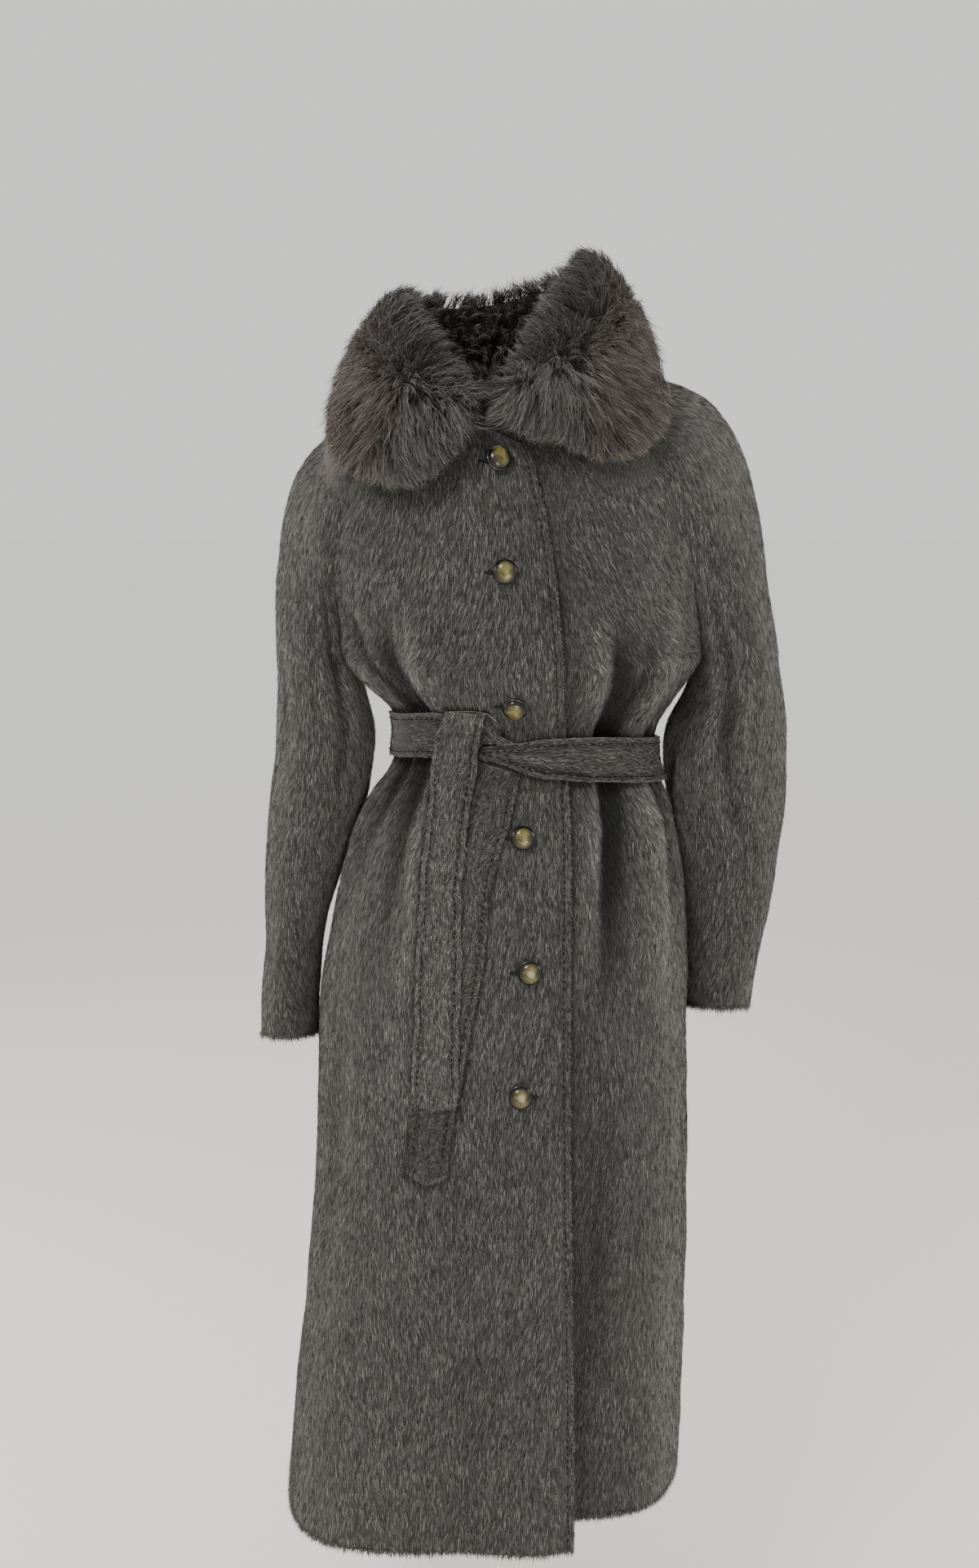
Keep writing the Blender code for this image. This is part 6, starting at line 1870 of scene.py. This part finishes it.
for name, grid, out in (("tail_back", tail_back, back_out), ("tail_front", tail_front, front_out)):
    for tag, column, aside in (("l", 0, -1.0), ("r", -1, 1.0)):
        away = np.broadcast_to([aside * 0.8, -0.1, -0.6], grid[:, column].shape)
        edge, facing = grid[:, column], out[:, column]
        fuzz(f"fuzz_{name}_{tag}", edge, facing, away, TAIL_SIDE_FUZZ, 500 + column, BELT_HAIR, 0.006)
    downwards = np.broadcast_to(DOWN, grid[0].shape)
    fuzz(f"fuzz_{name}_end", grid[0], out[0], downwards, TAIL_END_FUZZ, 520, BELT_HAIR, 0.007)


# ---------------------------------------------------------------- buttons and buttonholes

# The buttonhole's middle and half length beside each button, across the front.
# Columns: shift half.
HOLES = (
    (-0.0060, 0.0130),
    (-0.0075, 0.0135),
    (-0.0075, 0.0135),
    (-0.0050, 0.0130),
    (-0.0075, 0.0135),
    (0.0060, 0.0135),
)
HOLE_STATIONS = 15
SLIT_IN_FRONT = np.array([0.0031, 0.0027, 0.0031])  # from the cloth to the slit's edges and its middle


def turned_shape(name, profile, steps, material, place, turn):
    """A solid of revolution about its own Z, from (radius, height) pairs, closed on the axis at both ends."""
    inner = profile[1:-1]
    angle = np.arange(steps) * 2 * math.pi / steps
    points = [np.array([[0.0, 0.0, profile[0][1]]])]
    for radius, height in inner:
        points.append(np.stack([radius * np.cos(angle), radius * np.sin(angle), np.full(steps, height)], -1))
    points.append(np.array([[0.0, 0.0, profile[-1][1]]]))
    wrapped = joined_round(numbered(len(inner), steps, start=1))
    last = 1 + len(inner) * steps
    fan_a = np.stack([np.zeros(steps, int), wrapped[0, :-1], wrapped[0, 1:]], -1)
    fan_b = np.stack([np.full(steps, last), wrapped[-1, 1:], wrapped[-1, :-1]], -1)
    made = mesh_from(name, np.concatenate(points), [quads_over(wrapped, turned=True), fan_a, fan_b], material)
    made.location = place
    made.rotation_euler = turn
    belongs(made)
    return made


def rounded(profile, times=3):
    """The profile with its corners cut, several times over."""
    points = np.array(profile, float)
    for _ in range(times):
        a, b = points[:-1], points[1:]
        cut = np.stack([a * 0.75 + b * 0.25, a * 0.25 + b * 0.75], 1).reshape(-1, 2)
        points = np.concatenate([points[:1], cut, points[-1:]])
    return points


# A button's polished dome and dark base in profile: radii, and heights as shares of the button's own.
DOME = (
    (0.0, 1.00), (0.0034, 0.995), (0.0068, 0.93), (0.0094, 0.80), (0.0113, 0.62),
    (0.0120, 0.46), (0.0114, 0.33), (0.0095, 0.28), (0.0, 0.28),
)
BASE = (
    (0.0, 0.34), (0.0100, 0.34), (0.0121, 0.30), (0.0122, 0.20),
    (0.0108, 0.14), (0.0040, 0.10), (0.0030, 0.0), (0.0, 0.0),
)
hole_points, hole_faces, thread_rows = [], [], []
for index, ((x, z, turn, stand), (shift, half)) in enumerate(zip(BUTTONS, HOLES), 1):
    hit, out, _, _ = cloth_tree.ray_cast(Vector((x, -1.0, z)), Vector((0.0, 1.0, 0.0)))
    facing = out.to_track_quat("Z", "Y")
    turned_by = (Matrix.Rotation(math.radians(turn), 3, "Z") @ facing.to_matrix()).to_euler()
    place = hit + out * (BUTTON_CLEAR + 0.003 * math.sin(math.radians(turn)))
    height = np.array([1.0, BUTTON_HEIGHT])
    lift = np.array([0.0, stand])
    dome = rounded(np.array(DOME) * height + lift, 2)
    base = rounded(np.array(BASE) * height + lift, 1)
    made = turned_shape(f"button_dome_{index}", dome, 40, HORN, place, turned_by)
    turned_shape(f"button_base_{index}", base, 28, RIM, place, turned_by)
    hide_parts(f"button_{index}")
    across = np.linspace(-1, 1, HOLE_STATIONS)
    for sign in (1.0, -1.0):
        u = x + shift + across * half
        w = z + sign * (0.0013 * np.sqrt(np.clip(1 - across**2, 0, 1)) + 0.0002)
        y = front_y(u, w) - 0.0010
        line = np.stack([u, y, w], -1)
        thread_rows.append((line, np.broadcast_to([0.0, -1.0, 0.0], line.shape)))
    u = x + shift + across[:, None] * half
    w = z + 0.0011 * np.sqrt(np.clip(1 - across**2, 0.01, 1))[:, None] * np.array([-1.0, 0.0, 1.0])
    u = np.broadcast_to(u, w.shape)
    slit = np.stack([u, front_y(u, w) - SLIT_IN_FRONT, w], -1)
    count = sum(len(p) for p in hole_points)
    hole_points.append(slit.reshape(-1, 3))
    hole_faces.append(quads_over(numbered(*w.shape, start=count), turned=True))
DARK = plain_material("slit", (0.006, 0.006, 0.006), 0.95, 200.0, 0.2)
slits = mesh_from("buttonholes", np.concatenate(hole_points), [np.concatenate(hole_faces)], DARK)
belongs(slits)
stitches("buttonhole_threads", thread_rows, "cloth", 0.0011, 0.0014, 0.0006)


# ---------------------------------------------------------------- floor, light and camera

FLOOR = -1.505
FLOOR_REACH = 30.0
LIGHTS_AIM = Vector((0.0, 0.0, -0.45))
CAMERA_PLACE = (0.0, -1.614, -0.10)
CAMERA_PITCH = 11.5  # downwards, in degrees


def floor_material():
    """A plain pale floor, a little paler far off, so that it meets the pale surroundings without a step."""
    made, tree, shader = new_material("pale_floor")
    distance = added(tree, "VectorMath", "Value", {0: object_place(tree)}, operation="LENGTH")
    colour = mixed_colour(tree, ranged(tree, distance, 2.0, 7.0), (0.82, 0.80, 0.79), (0.95, 0.945, 0.94))
    fill(tree, shader, {"Base Color": colour, "Roughness": 0.95, "Specular IOR Level": 0.1})
    return made


floor_mesh = bpy.data.meshes.new("floor")
corners = [(FLOOR_REACH * x, FLOOR_REACH * y, FLOOR) for x, y in ((-1, -1), (1, -1), (1, 1), (-1, 1))]
floor_mesh.from_pydata(corners, [], [(0, 1, 2, 3)])
floor_mesh.materials.append(floor_material())
floor = bpy.data.objects.new("floor", floor_mesh)
bpy.context.scene.collection.objects.link(floor)

world = bpy.data.worlds.new("studio")
bpy.context.scene.world = world
world.use_nodes = True
background = world.node_tree.nodes["Background"]
background.inputs["Color"].default_value = (0.93, 0.92, 0.91, 1.0)
background.inputs["Strength"].default_value = 1.06

# Columns: name x y z size power red green blue.
LIGHTS = (
    ("key", -1.2, -2.0, 1.6, 0.9, 61.0, 0.98, 0.98, 1.00),
    ("fill", 0.4, -2.4, -0.9, 1.2, 23.0, 1.00, 0.98, 0.94),
    ("rim_left", -2.2, 0.6, 0.4, 1.2, 40.0, 1.00, 0.88, 0.76),
    ("rim_right", 2.2, 0.6, 0.3, 1.2, 30.0, 1.00, 0.88, 0.76),
)
for name, x, y, z, wide, power, *colour in LIGHTS:
    data = bpy.data.lights.new(name, "AREA")
    data.shape = "DISK"
    data.size = wide
    data.energy = power
    data.color = colour
    lamp = bpy.data.objects.new(name, data)
    lamp.location = (x, y, z)
    lamp.rotation_euler = (LIGHTS_AIM - Vector((x, y, z))).to_track_quat("-Z", "Y").to_euler()
    bpy.context.scene.collection.objects.link(lamp)

camera_data = bpy.data.cameras.new("camera")
camera_data.lens = 35.6
camera_data.sensor_width = 36.0
camera_data.dof.use_dof = False
camera = bpy.data.objects.new("camera", camera_data)
camera.location = CAMERA_PLACE
camera.rotation_euler = (math.radians(90.0 - CAMERA_PITCH), 0.0, 0.0)
bpy.context.scene.collection.objects.link(camera)
bpy.context.scene.camera = camera
